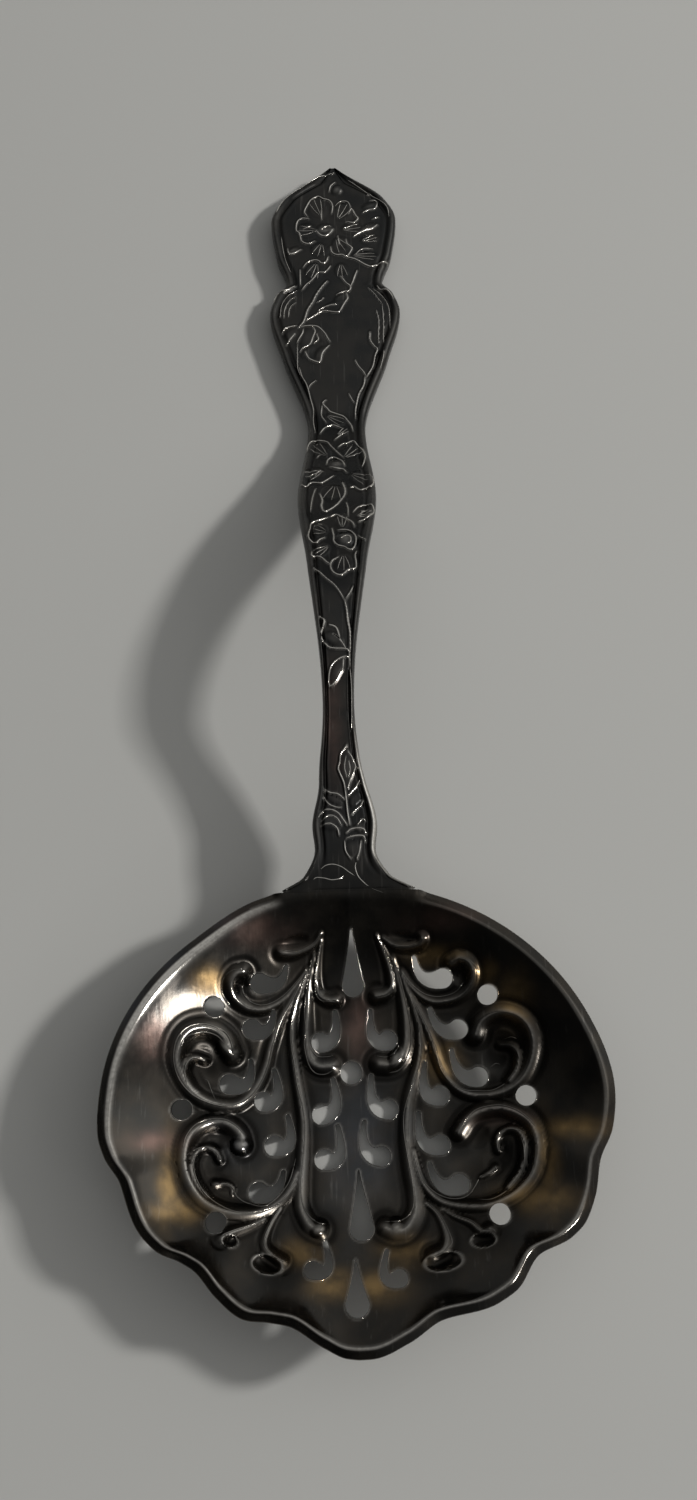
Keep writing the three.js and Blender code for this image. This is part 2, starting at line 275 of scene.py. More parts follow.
half_width_at = curve_through([
    (0, 7.25), (1.5, 4.72), (4.45, 3.35), (7, 3.59), (11.85, 2.6), (20.15, 1.75), (36.85, 3.4),
    (handle_length - 50.75, 4.69), (handle_length - 38.7, 3.6), (handle_length - 28.1, 6.77),
    (handle_length - 21.7, 8.4), (handle_length - 18.95, 7.5), (handle_length - 17.4, 6.2),
    (handle_length - 13.15, 7.5), (handle_length - 7.85, 8.2), (handle_length - 4.7, 6.75),
    (handle_length, 0.35),
])
lean_at = curve_through([
    (0, 0), (4.15, -0.26), (9.4, -0.25), (14.7, -0.61), (handle_length - 50.75, -0.31),
    (handle_length, 0),
])
thickness_at = curve_through([
    (0, 1.5), (20.15, 2.7), (handle_length - end_flat, end_thickness), (handle_length, end_thickness),
])


def climb(t, power):
    """Half a cosine wave from 0 to 1. A power over 1 makes it start late, one under 1 early."""
    return (1 - np.cos(np.pi * np.clip(t, 0, 1) ** power)) / 2


def arch_top(along):
    """A slow climb up from the root, and a quicker one from the table, which meet at the top."""
    flat_start = handle_length - end_flat
    up = blend(root_top, arch_height, climb(along / arch_from_root, climb_delay))
    fall = (flat_start - along) / (flat_start - arch_from_root)
    down = blend(end_thickness, arch_height, climb(fall, climb_hurry))
    return np.where(along < arch_from_root, up, down)


border_profile = curve_through([
    (0, -0.3), (0.1, -0.04), (0.3, 0.2), (0.42, 0.25), (0.62, 0.12), (0.9, -0.13),
    (1.1, 0.0), (1.22, 0.04), (1.5, 0),
])


def handle_height(x, y):
    """The arch, a crown and the border by the distance to the edge; its root follows the bowl."""
    along = y - root_y
    half = half_width_at(along)
    across = np.abs(x - lean_at(along))
    nudge = 0.05
    slope = (half_width_at(along + nudge) - half_width_at(along - nudge)) / (2 * nudge)
    edge_gap = np.clip(half - across, 0, None) / np.hypot(1, slope)
    border = np.minimum(border_width, half / 3)
    fade = soft_step(0, moulding_fade, along)
    moulding = border_profile(edge_gap / border) * np.where(edge_gap < border_crest * border, 1, fade)
    top = arch_top(along) + crown * fade * (1 - np.clip(across / half, 0, 1) ** 2) + moulding
    dish = dish_height(*dish_share(x, y))
    past_root = soft_step(0, root_meets, along)
    meet = (1 - past_root) * (1 - soft_step(meet_inner, meet_outer, np.abs(x)))
    return blend(top, np.minimum(top, dish + root_release * past_root), meet)


print("the arch is", round(float(handle_height(0.0, root_y + arch_from_root)), 2), "mm high")
# %% [markdown]
# The ornament was struck into the metal, so it is one relief: a height that is added to the
# plain surface. It is made of ribs, which follow a drawn line and are round across, of mounds
# and hollows, which are ovals, and of fine lines along the crests, where the tarnish has been
# rubbed off; on the handle these lines also carry a painted highlight. A rib's height at a place
# depends on how far the nearest point of its line is.

# %% Drawn lines
curve_steps = 24


def smooth_path(numbers, step):
    """A Catmull-Rom curve through x, y pairs, measured out again at even steps."""
    knots = np.reshape(numbers, (-1, 2)) + [0, drawn_up]
    first = 2 * knots[0] - knots[1]
    last = 2 * knots[-1] - knots[-2]
    held = np.vstack([first, knots, last])
    a, b, c, d = held[:-3, None], held[1:-2, None], held[2:-1, None], held[3:, None]
    t = np.linspace(0, 1, curve_steps, endpoint=False)[:, None]
    cubic = 2 * b + (c - a) * t + (2 * a - 5 * b + 4 * c - d) * t**2 + (3 * b - 3 * c + d - a) * t**3
    fine = np.vstack([cubic.reshape(-1, 2) / 2, knots[-1:]])
    travelled = np.append(0, np.cumsum(np.hypot(*np.diff(fine, axis=0).T)))
    count = max(3, int(round(travelled[-1] / step)) + 1)
    even = np.linspace(0, travelled[-1], count)
    return np.column_stack([np.interp(even, travelled, fine[:, axis]) for axis in (0, 1)])


def places_near(path, reach, x, y):
    """Which places lie in the path's own box, made larger by reach on each side."""
    low = path.min(0) - reach
    high = path.max(0) + reach
    return np.flatnonzero((x > low[0]) & (x < high[0]) & (y > low[1]) & (y < high[1]))


def nearest_on(path, x, y):
    """From each place to the nearest point of a path: how far, and at which share of the path."""
    start = path[:-1]
    leg = np.diff(path, axis=0)
    away = np.stack([x, y], axis=1)[:, None] - start
    share = np.clip((away * leg).sum(2) / (leg**2).sum(1), 0, 1)
    gap = ((away - share[..., None] * leg) ** 2).sum(2)
    best = gap.argmin(1)
    row = np.arange(len(best))
    return np.sqrt(gap[row, best]), (best + share[row, best]) / len(leg)


print("a short path:", smooth_path([0, 0, 1, 0, 2, 1], 0.5).round(2).tolist())

# %% [markdown]
# Each piece has one such relief. It keeps the lists of its ribs, ovals and fine lines, and works
# out four numbers for any place: the height, and three that the finish needs later on. They say
# how near a crest is, how deep a recess is, and how close the nearest rib stands.

# %% Ribs, mounds and hollows
shade_reach = 2.6
rib_step = 0.25
line_step = 0.12
slant_power = 1.35
ditch_middle = 1.35
ditch_half = 0.45
ditch_share = 0.16
oval_rim_half = 0.22


class Ornament:
    """What is raised, sunk and drawn on one piece, in millimetres, as seen from above.

    spread, lift and line_share scale all widths, heights and fine lines of the piece, and
    roundness is 0 for ribs with a sharp crest and 1 for ribs that are round across.
    """

    def __init__(self, spread, lift, line_share, roundness):
        self.spread = spread
        self.lift = lift
        self.line_share = line_share
        self.roundness = roundness
        self.ribs = []
        self.ovals = []
        self.lines = []

    def rib(self, width, height, *numbers, taper=(0.5, 1.0), line=0.0, beads=0.0):
        """A raised strand along a drawn line. taper is its share of width and height at both ends."""
        path = smooth_path(numbers, rib_step)
        self.ribs.append((path, self.spread * width, self.lift * height, taper))
        if line:
            self.line(line, *numbers, beads=beads)

    def line(self, width, *numbers, beads=0.0):
        """A fine worn line. Beads are the pitch of its grains, or 0 for a plain one."""
        self.lines.append((smooth_path(numbers, line_step), self.line_share * width, beads, False))

    def oval(self, x, y, long, short, turn, height, rim=0.0):
        """A mound, or a hollow below height 0. long and short are half axes; turn is in degrees."""
        height *= self.lift if height > 0 else 1
        self.ovals.append((x, y + drawn_up, long, short, math.radians(turn), height, rim))

    def veins(self, x, y, long, short, turn):
        """Fine worn lines along an oval petal, which open like a fan towards its outer end."""
        ahead = np.array([math.cos(math.radians(turn)), math.sin(math.radians(turn))])
        aside = np.array([-ahead[1], ahead[0]])
        for side in (-1, 0, 1):
            start = (x, y) - 0.75 * long * ahead + 0.12 * side * short * aside
            end = (x, y) + (0.85 - 0.15 * abs(side)) * long * ahead + 0.65 * side * short * aside
            self.line(0.1, *start, *((start + end) / 2 + 0.06 * side * aside), *end)

    def rib_relief(self, x, y):
        """What the ribs raise, their crests, the ditches beside them, and how near they are."""
        raised, crest, moat, shade = np.zeros((4, len(x)))
        for path, width, height, taper in self.ribs:
            near = places_near(path, 0.5 * width + shade_reach, x, y)
            if not len(near):
                continue
            gap, along = nearest_on(path, x[near], y[near])
            size = blend(taper[0], taper[1], along)
            far = gap / (0.5 * width * size)
            slanted = np.clip(1 - far, 0, None) ** slant_power
            top = blend(slanted, np.clip(1 - far**2, 0, None), self.roundness)
            raised[near] = np.maximum(raised[near], height * size * top)
            crest[near] = np.maximum(crest[near], top)
            ditch = np.clip(1 - ((far - ditch_middle) / ditch_half) ** 2, 0, None)
            moat[near] = np.maximum(moat[near], ditch_share * height * size * ditch)
            beside = np.clip(gap - 0.5 * width * size, 0, None)
            shade[near] = np.maximum(shade[near], np.clip(1 - beside / shade_reach, 0, 1))
        return raised, crest, moat, shade

    def relief(self, x, y):
        """The height, how close to a crest, how deep in a recess and how near a rib (0 to 1)."""
        raised, crest, moat, shade = self.rib_relief(x, y)
        sunk = np.zeros(len(x))
        for centre_x, centre_y, long, short, turn, height, rim in self.ovals:
            along = (x - centre_x) * math.cos(turn) + (y - centre_y) * math.sin(turn)
            across = (y - centre_y) * math.cos(turn) - (x - centre_x) * math.sin(turn)
            far = np.hypot(along / long, across / short)
            dome = np.clip(1 - far**2, 0, None)
            if height > 0:
                raised = np.maximum(raised, height * dome**0.7)
                crest = np.maximum(crest, min(1, 2.5 * height) * dome)
            else:
                sunk = np.maximum(sunk, -height * dome**1.2)
            if rim:
                ring = np.clip(1 - ((far - 1) / oval_rim_half) ** 2, 0, None)
                raised = np.maximum(raised, rim * ring)
                crest = np.maximum(crest, ring)
        moat *= np.clip(1 - raised / 0.08, 0, 1)
        depth = np.clip(moat / 0.1 + sunk / 0.35, 0, 1)
        return raised - moat - sunk, crest, depth, shade * (1 - crest)


print("ribs, mounds, hollows and lines are ready")

# %% [markdown]
# The bowl's ornament is scrolls: strands that leave one point near the heel, run down both
# sides and curl up round the openings. Real scrollwork is drawn freehand on each side, so the
# two sides are alike and not mirrored, and each has its own lines here. A rib's row is its
# width, its height, its taper at both ends, and then x, y pairs. A line's row is its width, the
# pitch of its grains, and pairs.

# %% Scrolls of the right side of the bowl
scrolls = Ornament(spread=1.2, lift=1.45, line_share=0.7, roundness=0.55)


def draw_scrolls(ribs, ovals, lines):
    """Adds one side's ribs, ovals and fine lines, a row for each."""
    for width, height, start, end, *numbers in ribs:
        scrolls.rib(width, height, *numbers, taper=(start, end))
    for row in ovals:
        scrolls.oval(*row)
    for width, beads, *numbers in lines:
        scrolls.line(width, *numbers, beads=beads)


right_ribs = [
    (1.5, 0.40, 0.3, 1, 2.9, -30.2, 3.9, -32.6, 4.4, -34.4, 4.4, -35.6, 3.7, -36.3, 2.7, -36.5),
    (2.1, 0.45, 0.3, 1, 4.6, -32.6, 5.5, -36.3, 5.9, -39.5, 5.8, -41.8, 5.1, -43.3, 4.0, -43.8,
     2.9, -43.7),
    (1.9, 0.45, 0.5, 1, 5.6, -34.5, 7.1, -38.9, 7.4, -41.5, 7.2, -43.5, 6.6, -45.5, 6.0, -47.5,
     5.7, -49.5, 5.6, -52, 5.9, -55, 6.3, -57.5, 6.2, -59.3, 5.2, -60.8, 4.0, -61.1, 3.0, -60.7),
    (1.5, 0.42, 0.4, 1, 5.6, -34, 6.5, -35.5, 7.7, -36.7, 9, -37.3, 10.4, -37.3, 11.8, -36.9,
     12.9, -35.9, 13.3, -34.6, 12.8, -33.4, 11.8, -33, 11, -33.4),
    (1.8, 0.5, 0.5, 1, 6.4, -36.4, 7.7, -39, 8.8, -41.8, 9.5, -44, 10.6, -45.9, 12.2, -47.1,
     14.3, -47.4, 16.5, -46.9, 18.3, -45.5, 19.3, -43.2, 19.2, -41, 18.2, -39.5, 16.7, -38.8,
     15.3, -38.9, 14, -39.7, 13.4, -41),
    (1.7, 0.5, 1, 0.6, 11.2, -51.2, 12, -50.1, 13, -49.3, 14.2, -48.9, 15.8, -48.8, 17.3, -49.3,
     18.6, -50.3, 19.2, -51.8, 19.2, -53.5, 18.6, -55.5, 17.2, -57.1, 15.5, -58.1, 13.5, -58.7,
     11, -58.7, 9, -58.2, 7.6, -57, 6.7, -55.2, 6.2, -53),
    (1.1, 0.38, 0.7, 1, 16, -42.2, 17.2, -42.4, 17.8, -43.3, 17.6, -44.8, 16.8, -46),
    (1.1, 0.38, 0.8, 0.8, 15.3, -53.2, 15.2, -52.2, 15.6, -51.4, 16.5, -51, 17.4, -51.2,
     17.9, -52.2, 17.9, -53.6, 17.3, -55.4, 16, -57),
    (0.9, 0.3, 0.6, 1, 13.3, -55.9, 14.3, -55.4, 14.9, -54.9),
    (1.5, 0.4, 0.4, 1, 7.4, -58.4, 8.5, -59.4, 9.2, -60.8, 9.4, -62, 8.9, -63, 7.8, -63.6),
    (1.2, 0.35, 0.4, 1, 9, -59, 10.5, -59.8, 12, -60.4, 13, -61.2, 13.8, -61),
    (1.3, 0.35, 0.4, 1, 3.6, -30.5, 4.8, -31.3, 6.2, -31.5, 7.5, -31.3, 7.9, -30.8),
]
right_ovals = [
    (12.1, -34.9, 1.0, 0.9, 0, -0.3),
    (16.0, -42.9, 2.6, 2.4, 90, -0.45),
    (15.9, -54.0, 2.6, 2.0, 60, -0.4),
    (13.4, -51.8, 1.5, 1.1, 50, -0.3),
    (5.9, -30.4, 1.8, 0.5, -8, -0.3),
    (8.9, -64.1, 2.0, 0.9, 8, -0.45, 0.12),
    (13.1, -62.1, 1.3, 0.7, 8, -0.35, 0.1),
    (4.1, -60.7, 1.1, 0.95, 30, 0.55),
    (4.7, -43.3, 1.6, 1.0, 50, 0.6),
]
right_lines = [
    (0.24, 0.42, 2.85, -30.1, 3.3, -31, 4, -32.3, 4.5, -33.6, 4.75, -35, 4.5, -36, 3.8, -36.5,
     2.8, -36.7),
    (0.22, 0.42, 4.2, -32, 4.6, -32.7, 5.5, -34.3),
    (0.20, 0, 1.9, -38.2, 1.5, -39.5, 1.55, -40.9, 2.2, -41.9),
    (0.24, 0, 5.2, -34, 5.7, -36, 6.3, -38.9, 6.5, -41, 6.2, -42.4, 5.6, -43.8, 4.9, -44.5, 3.9, -44.7),
    (0.20, 0, 5.1, -41.8, 4.4, -42.7, 3.5, -43, 2.4, -42.8),
    (0.22, 0, 5.6, -34, 6.5, -35.2, 7.7, -36.2, 9, -36.7, 10.3, -36.7, 11.5, -36.3, 12.3, -35.4),
    (0.18, 0, 10.9, -33.4, 12, -32.9, 13, -33.3, 13.7, -34.2, 13.7, -35.5),
    (0.22, 0, 6.2, -36, 7.2, -38.9, 7.6, -41.5, 7.4, -43.5, 6.9, -45, 6, -47, 5.4, -49, 5.3, -51,
     5.6, -53.5, 6, -56, 6.1, -58.3, 5.6, -59.5, 4.6, -60.1, 2.9, -60.2),
    (0.22, 0, 6.8, -37, 7.6, -38.5, 8.7, -41, 9.2, -43, 9.6, -44.5, 10.5, -45.8, 11.9, -46.7,
     13.3, -46.9, 15, -46.9, 16.5, -46.2, 17.3, -45.6),
    (0.20, 0, 13.2, -40, 14, -39.3, 15.5, -38.7, 17, -38.8),
    (0.20, 0, 16.4, -41.6, 17.2, -41.4, 17.8, -41.6),
    (0.20, 0, 14.9, -44.5, 15.5, -44.1, 16, -44.2),
    (0.30, 0, 11.6, -50.6, 12, -49.9, 13, -49, 14.2, -48.6, 15.8, -48.5, 17.3, -49, 18.5, -49.9,
     19.2, -50.8),
    (0.26, 0, 6.3, -53.5, 7, -55.8, 8.2, -57.2, 9.6, -57.9, 11, -58, 12, -57.6, 12.8, -56.6, 13.3, -55.8,
     14.5, -55.5, 15, -55.2, 14.8, -54.7),
    (0.20, 0, 12.8, -58.1, 14.2, -58.1, 15.7, -57.4, 17, -56.2, 17.8, -54.6, 17.9, -53, 17.7, -51.9),
    (0.22, 0, 15.3, -53.2, 15.2, -52.2, 15.6, -51.3, 16.5, -51, 17.3, -51.1, 18, -51.3),
    (0.26, 0, 7.5, -58.3, 8.4, -59.1, 9.1, -60.1, 9.7, -61.4, 9.9, -62.3, 9.5, -62.8, 8.5, -63.5,
     7.3, -63.8),
    (0.20, 0, 9.2, -59.1, 10.5, -59.7, 12, -60.2, 12.7, -60.9, 12.9, -61.4),
    (0.20, 0, 12.9, -61.1, 14, -61, 14.4, -61.3),
    (0.22, 0, 4.3, -31, 5.2, -31.3, 6.2, -31.4, 7.2, -31.2, 7.9, -30.8),
]
draw_scrolls(right_ribs, right_ovals, right_lines)
print(len(scrolls.ribs), "ribs on the right side")

# %% Scrolls of the left side of the bowl
left_ribs = [
    (1.4, 0.40, 0.3, 1, -3.2, -30.6, -3.7, -32.8, -3.9, -34.8, -3.6, -36.2, -2.6, -36.8,
     -1.7, -36.8),
    (2.0, 0.45, 0.3, 1, -4, -32, -4.7, -35, -5.0, -38, -5.1, -40.8, -4.8, -42.9, -3.8, -43.8,
     -2.5, -43.8),
    (1.8, 0.45, 0.5, 1, -4.9, -34, -6.2, -37, -6.7, -40, -6.6, -42.5, -6.3, -45, -5.9, -47.5,
     -5.6, -50, -5.7, -53, -5.9, -56, -5.9, -58.4, -5.2, -60, -4.6, -60.5, -3.9, -60.8),
    (1.6, 0.42, 0.4, 1, -4.9, -33.6, -6, -35, -7.3, -36.4, -8.7, -37.3, -10.2, -37.7, -11.7, -37.4,
     -12.9, -36.3, -13.1, -35, -12.5, -34, -11.7, -33.8),
    (1.9, 0.5, 0.5, 1.1, -5.5, -34.8, -6.7, -36.8, -8, -39, -9, -41.5, -9.6, -43.7, -10.4, -45.5,
     -11.6, -47, -13, -47.8, -14.8, -47.7, -16.6, -47, -18, -45.6, -18.9, -43.3, -18.6, -41.3,
     -17.6, -40, -16.2, -39.6, -14.9, -39.9, -13.8, -40.9, -13.2, -42.4),
    (1.7, 0.5, 1, 0.8, -12.1, -52.2, -12.3, -51, -13.2, -50, -14.5, -49.5, -16, -49.7,
     -17.3, -50.5, -18, -51.8, -18.1, -53.6, -17.5, -55.6, -16.2, -57.4, -14.3, -58.5,
     -12.3, -58.9, -10.2, -58.8, -8.4, -58, -7.1, -56.7, -6.3, -55),
    (1.1, 0.38, 1, 0.7, -16.2, -43, -17.1, -42.7, -17.9, -43.2, -18.2, -44.4, -17.8, -45.7,
     -16.8, -46.5),
    (1.0, 0.35, 1, 0.8, -14.6, -53.5, -15.1, -52.6, -16, -52.2, -17, -52.8, -17.3, -54.2,
     -16.8, -55.8, -15.6, -57.2),
    (0.9, 0.3, 0.6, 1, -13.2, -57, -13.2, -56.3, -14, -55.9, -15, -55.9),
    (1.3, 0.4, 0.5, 1, -8.1, -58.6, -9, -59.9, -9.6, -61.3, -9.6, -62.3, -8.9, -63.1, -7.8, -63.8),
    (1.2, 0.35, 0.5, 1, -9.8, -59.6, -11.5, -60.3, -13, -60.7, -14, -61.2),
    (1.3, 0.35, 0.4, 1, -3.2, -29.9, -4, -31, -5.2, -31.6, -6.4, -31.9, -7.6, -31.8),
]
left_ovals = [
    (-12.0, -35.2, 0.8, 0.8, 0, -0.3),
    (-15.9, -43.2, 2.7, 2.3, 110, -0.45),
    (-15.2, -54.4, 2.5, 1.9, -60, -0.4),
    (-14.6, -51.4, 1.3, 0.9, -30, -0.35),
    (-6.0, -30.5, 1.5, 0.6, 10, -0.3),
    (-9.4, -64.0, 1.6, 0.9, -15, -0.45, 0.12),
    (-13.2, -61.6, 0.8, 0.6, -20, -0.35, 0.1),
    (-13.7, -41.8, 1.5, 1.1, -55, 0.6),
    (-12.3, -52.0, 1.2, 1.1, 0, 0.6),
    (-4.1, -60.7, 1.1, 0.95, 20, 0.55),
]
left_lines = [
    (0.24, 0.42, -3.3, -31.2, -3.8, -33, -4, -34.5, -4, -36, -3.4, -36.8, -2.6, -36.9, -1.7, -37),
    (0.24, 0.42, -4.3, -32.5, -4.7, -34, -5.1, -36),
    (0.24, 0, -5.1, -36, -5.3, -38, -5.2, -40, -5.4, -41.5, -5, -43.5, -4.3, -44.5, -3.2, -44.7,
     -2.3, -44.3),
    (0.20, 0, -4.7, -41.9, -4, -42.7, -3, -42.8, -2.3, -42.7),
    (0.24, 0.42, -5, -34, -5.3, -34.8, -5.9, -36.2),
    (0.22, 0, -5.9, -36.2, -6.5, -38, -6.9, -40, -6.8, -42, -6.5, -43.5, -6.3, -45.5, -5.8, -47.5,
     -5.5, -49.5, -5.5, -51.5, -5.7, -54, -5.9, -56, -5.8, -58, -5.2, -59.3, -4.2, -60.1, -3.2, -60.3),
    (0.24, 0, -4.9, -33.5, -6, -34.7, -7.3, -36, -8.7, -36.9, -10, -37.2, -11.2, -36.8, -11.9, -35.9,
     -11.9, -34.9, -11.5, -34.3),
    (0.18, 0, -11.8, -33.5, -13, -33.7, -14, -34.6, -14.1, -36, -13.3, -37.3),
    (0.34, 0, -5.5, -34.8, -6.6, -36.8, -7.9, -39, -8.8, -41.5, -9.3, -43.5, -10, -45.2, -11.1, -46.8,
     -12.5, -47.7, -14, -47.9, -15.8, -47.5, -17.5, -46.6, -18.8, -45, -19.3, -43, -19, -41, -18, -39.7,
     -16.5, -39.2, -15, -39.5, -13.8, -40.2, -13.2, -41.5, -13, -42.9),
    (0.24, 0, -18.5, -41.8, -18.2, -40.9, -17.3, -40.3, -16, -40.1, -14.8, -40.5, -14, -41.3),
    (0.26, 0, -18, -45.5, -18.2, -44, -17.7, -43, -16.8, -42.7, -16.1, -43),
    (0.20, 0, -16.3, -45, -15.9, -45.2, -15.5, -46.3, -15, -47.3),
    (0.28, 0, -18.3, -52.2, -18, -50.9, -17, -49.7, -15.5, -49.2, -14, -49.3, -12.8, -50, -12, -50.9),
    (0.22, 0, -18, -53, -17.2, -52.4, -16, -52.1, -15, -52.6, -14.5, -53.4),
    (0.24, 0, -17, -52.8, -17.2, -54, -16.8, -55.5, -15.8, -57, -14.3, -58.1, -12.5, -58.8, -10.5, -58.8,
     -8.7, -58.3, -7.3, -57, -6.3, -55.6),
    (0.22, 0, -6.5, -53.5, -7.4, -56.2, -9.5, -58.2, -11.5, -58, -12.7, -57.3, -13.2, -56.3, -14, -55.9,
     -15, -56.1),
    (0.24, 0, -8.2, -58.5, -9, -59.8, -9.7, -61.3, -9.7, -62.2, -9, -63, -7.7, -63.8),
    (0.22, 0, -10, -59.8, -11.5, -60.2, -13, -60.6, -14, -61, -14.1, -61.4),
    (0.20, 0, -12.9, -60.8, -12.6, -61.5, -12.5, -62.3),
    (0.24, 0, -3.2, -29.9, -4, -30.8, -5, -31.4, -6, -31.7, -7, -31.6, -7.8, -31.8),
]
draw_scrolls(left_ribs, left_ovals, left_lines)
print(len(scrolls.lines), "fine lines on the bowl so far")
# %% [markdown]
# The handle carries sprays of flowers and vines. A petal is a hollow with a thin raised edge
# and a fan of veins, a leaf is a low mound with a drawn outline, and a stem is a row of grains.
# The shapes are shallow: a quarter of a millimetre is enough for light to catch an edge. An
# oval's row is its place, half length, half width and turn, and sometimes its height.

# %% Flowers of the head
flowers = Ornament(spread=1.0, lift=1.2, line_share=0.9, roundness=0.55)
petal_height = 0.2
stroke_spread = 2.6
stroke_height = 0.13
stem_spread = 2.4


def struck_petals(rows, hollow_long, hollow_short, hollow_height):
    """A mound with a smaller hollow in it, which leaves a thin edge, and a fan of veins."""
    for x, y, long, short, turn in rows:
        flowers.oval(x, y, long, short, turn, petal_height)
        flowers.oval(x, y, hollow_long * long, hollow_short * short, turn, hollow_height)
        flowers.veins(x, y, long, short, turn)


def struck_strokes(rows, height=stroke_height):
    """A low rib with a fine worn line on it, for each row of a width and x, y pairs."""
    for width, *numbers in rows:
        flowers.rib(stroke_spread * width, height, *numbers, taper=(0.8, 0.9), line=width)


def struck_stems(rows, height):
    """A rib with a row of grains on it, for each row of a width, a pitch and x, y pairs."""
    for width, beads, *numbers in rows:
        flowers.rib(stem_spread * width, height, *numbers, taper=(0.9, 0.9), line=width, beads=beads)


head_petals = [
    (-2.1, 66.6, 1.75, 1.3, 110), (1.2, 65.8, 1.57, 1.34, 60), (-3.5, 63.1, 1.48, 1.17, 180),
    (0.9, 60.8, 1.35, 1.31, -60), (2.3, 63.2, 1.47, 0.91, 5), (-1.9, 60.1, 1.15, 1.26, 255),
    (-2.7, 57, 1.41, 1.29, 250), (0.9, 56.9, 1.21, 1.01, 275), (3.9, 59, 1.91, 0.74, -5),
    (4.6, 61.5, 1.29, 0.78, 15),
]
struck_petals(head_petals, hollow_long=0.75, hollow_short=0.72, hollow_height=-0.2)
for row in [
    (-1.2, 63.2, 1.2, 0.89, 10, 0.32), (-1.2, 63.4, 0.8, 0.54, 10, -0.2),
    (0.5, 69.2, 0.9, 0.7, 60, 0.25), (4.8, 66.6, 1.2, 0.6, 20, 0.2),
    (4.2, 63.2, 1.56, 0.55, 30, 0.2), (-5.4, 60.2, 0.97, 0.44, 30, 0.22),
]:
    flowers.oval(*row)
head_lines = [
    (0.24, -2.3, 63.1, -1.9, 62.5, -1.3, 62.2, -0.6, 62.5, -0.1, 63.2),
    (0.22, -1.6, 63.2, -1, 63.6, -0.4, 63.6),
    (0.20, -3.4, 65.2, -3.8, 66, -3.4, 67, -2.9, 67.8, -2, 68.3, -1.3, 67.9, -0.5, 67.6, -0.1, 66.8,
     -0.2, 65.6),
    (0.16, 0.3, 66.8, 1, 67.4, 1.9, 67.3, 2.3, 66.4),
    (0.22, 2, 65.5, 2.4, 66.2, 2.9, 65.2, 3.2, 64.7, 2.6, 64.1, 1.7, 64.3),
    (0.20, -3.2, 64.9, -4.2, 65, -4.8, 64.4, -4.9, 63.2, -4.5, 62.7, -4.2, 61.5, -3.3, 61.1, -2.5,
     61.5),
    (0.20, -0.5, 60.6, -0.3, 59.7, 0.3, 59.3, 1, 59.3, 1.6, 59, 2.1, 59.7, 2.3, 60.3, 1.7, 60.9, 1.6,
     61.6),
    (0.20, -4.1, 57.6, -3.5, 58.3, -2.7, 58.6, -2.1, 58.5, -1.7, 58.1, -1.1, 58.3, -0.8, 59.1),
    (0.26, 2.6, 62, 3.1, 62.4, 4.2, 62.9, 5.1, 63.2, 5.7, 63.7),
    (0.20, 5.1, 64.6, 5.9, 64.9),
    (0.18, 3.8, 65.6, 4.7, 66, 5.5, 66.2, 5.8, 67, 5.6, 67.4, 4.8, 67.4),
    (0.18, 2.7, 59.2, 3.5, 60, 4.3, 60.1, 5, 60),
    (0.24, 1.3, 59, 2.6, 58.6, 3.4, 58.1, 4, 57.7, 4.8, 57.4, 5.6, 57.7, 7, 58.1),
    (0.22, -0.5, 69, -0.3, 69.8, 0.3, 70.4),
    (0.26, 0.9, 68.7, 1.1, 69.1),
    (0.22, -0.1, 71.7, 0.2, 71.9),
    (0.22, 4.5, 68.3, 4.8, 68.4),
    (0.22, -6.1, 60.5, -5.9, 59.7, -5.2, 59.8, -4.3, 60.3),
    (0.20, -0.5, 57.7, -1.2, 56.8, -2.2, 56.7, -2.6, 56.1, -3.1, 55.5, -3.7, 55, -4.3, 54.2),
    (0.18, -4.5, 57.3, -4.5, 54.9),
    (0.16, -1.6, 64.7, -1.6, 66.2),
    (0.16, -3, 63.8, -4, 63.4),
    (0.16, 0.5, 62.2, 0.7, 60.8),
]
struck_strokes(head_lines)
for numbers in [
    (-7.5, 66, -6.9, 67.4, -5.8, 68.6, -4, 69.9, -2, 71.2, -0.1, 71.9),
    (7.3, 64.9, 7.1, 66.2, 6.3, 67.3, 4.2, 69, 2, 70.7),
    (-6.9, 62.5, -6.7, 60.6, -6.3, 58.6, -5.7, 56.9),
]:
    flowers.line(0.14, *numbers)
print(len(flowers.ribs), "ribs on the head")

# %% Vines of the lobes
for x, y, long, short, turn in [
    (-5.9, 47.7, 1.47, 0.69, 60), (-3.8, 47.3, 1.72, 0.82, 75), (-2.1, 47.7, 1.44, 0.6, -65),
    (-3.7, 45.2, 1.28, 0.57, 50), (-2.1, 44.9, 1.23, 0.6, 60), (-0.3, 51.9, 1.58, 0.5, 25),
    (0.6, 53, 1.12, 0.45, 40),
]:
    flowers.oval(x, y, long, short, turn, 0.16)
lobe_stems = [
    (0.26, 0.50, -1, 55.4, -1.8, 54.4, -2.5, 53.3, -2.9, 52.4, -3.6, 51.2, -3.9, 50.2, -4.2, 49.4,
     -4.8, 48.7),
    (0.22, 0.40, 3.7, 41.3, 4.1, 41.9, 4.6, 42.9, 4.9, 44.3, 5.2, 45.2, 4.8, 45.7, 4.3, 46.6, 4.3,
     47.8),
]
struck_stems(lobe_stems, height=0.16)
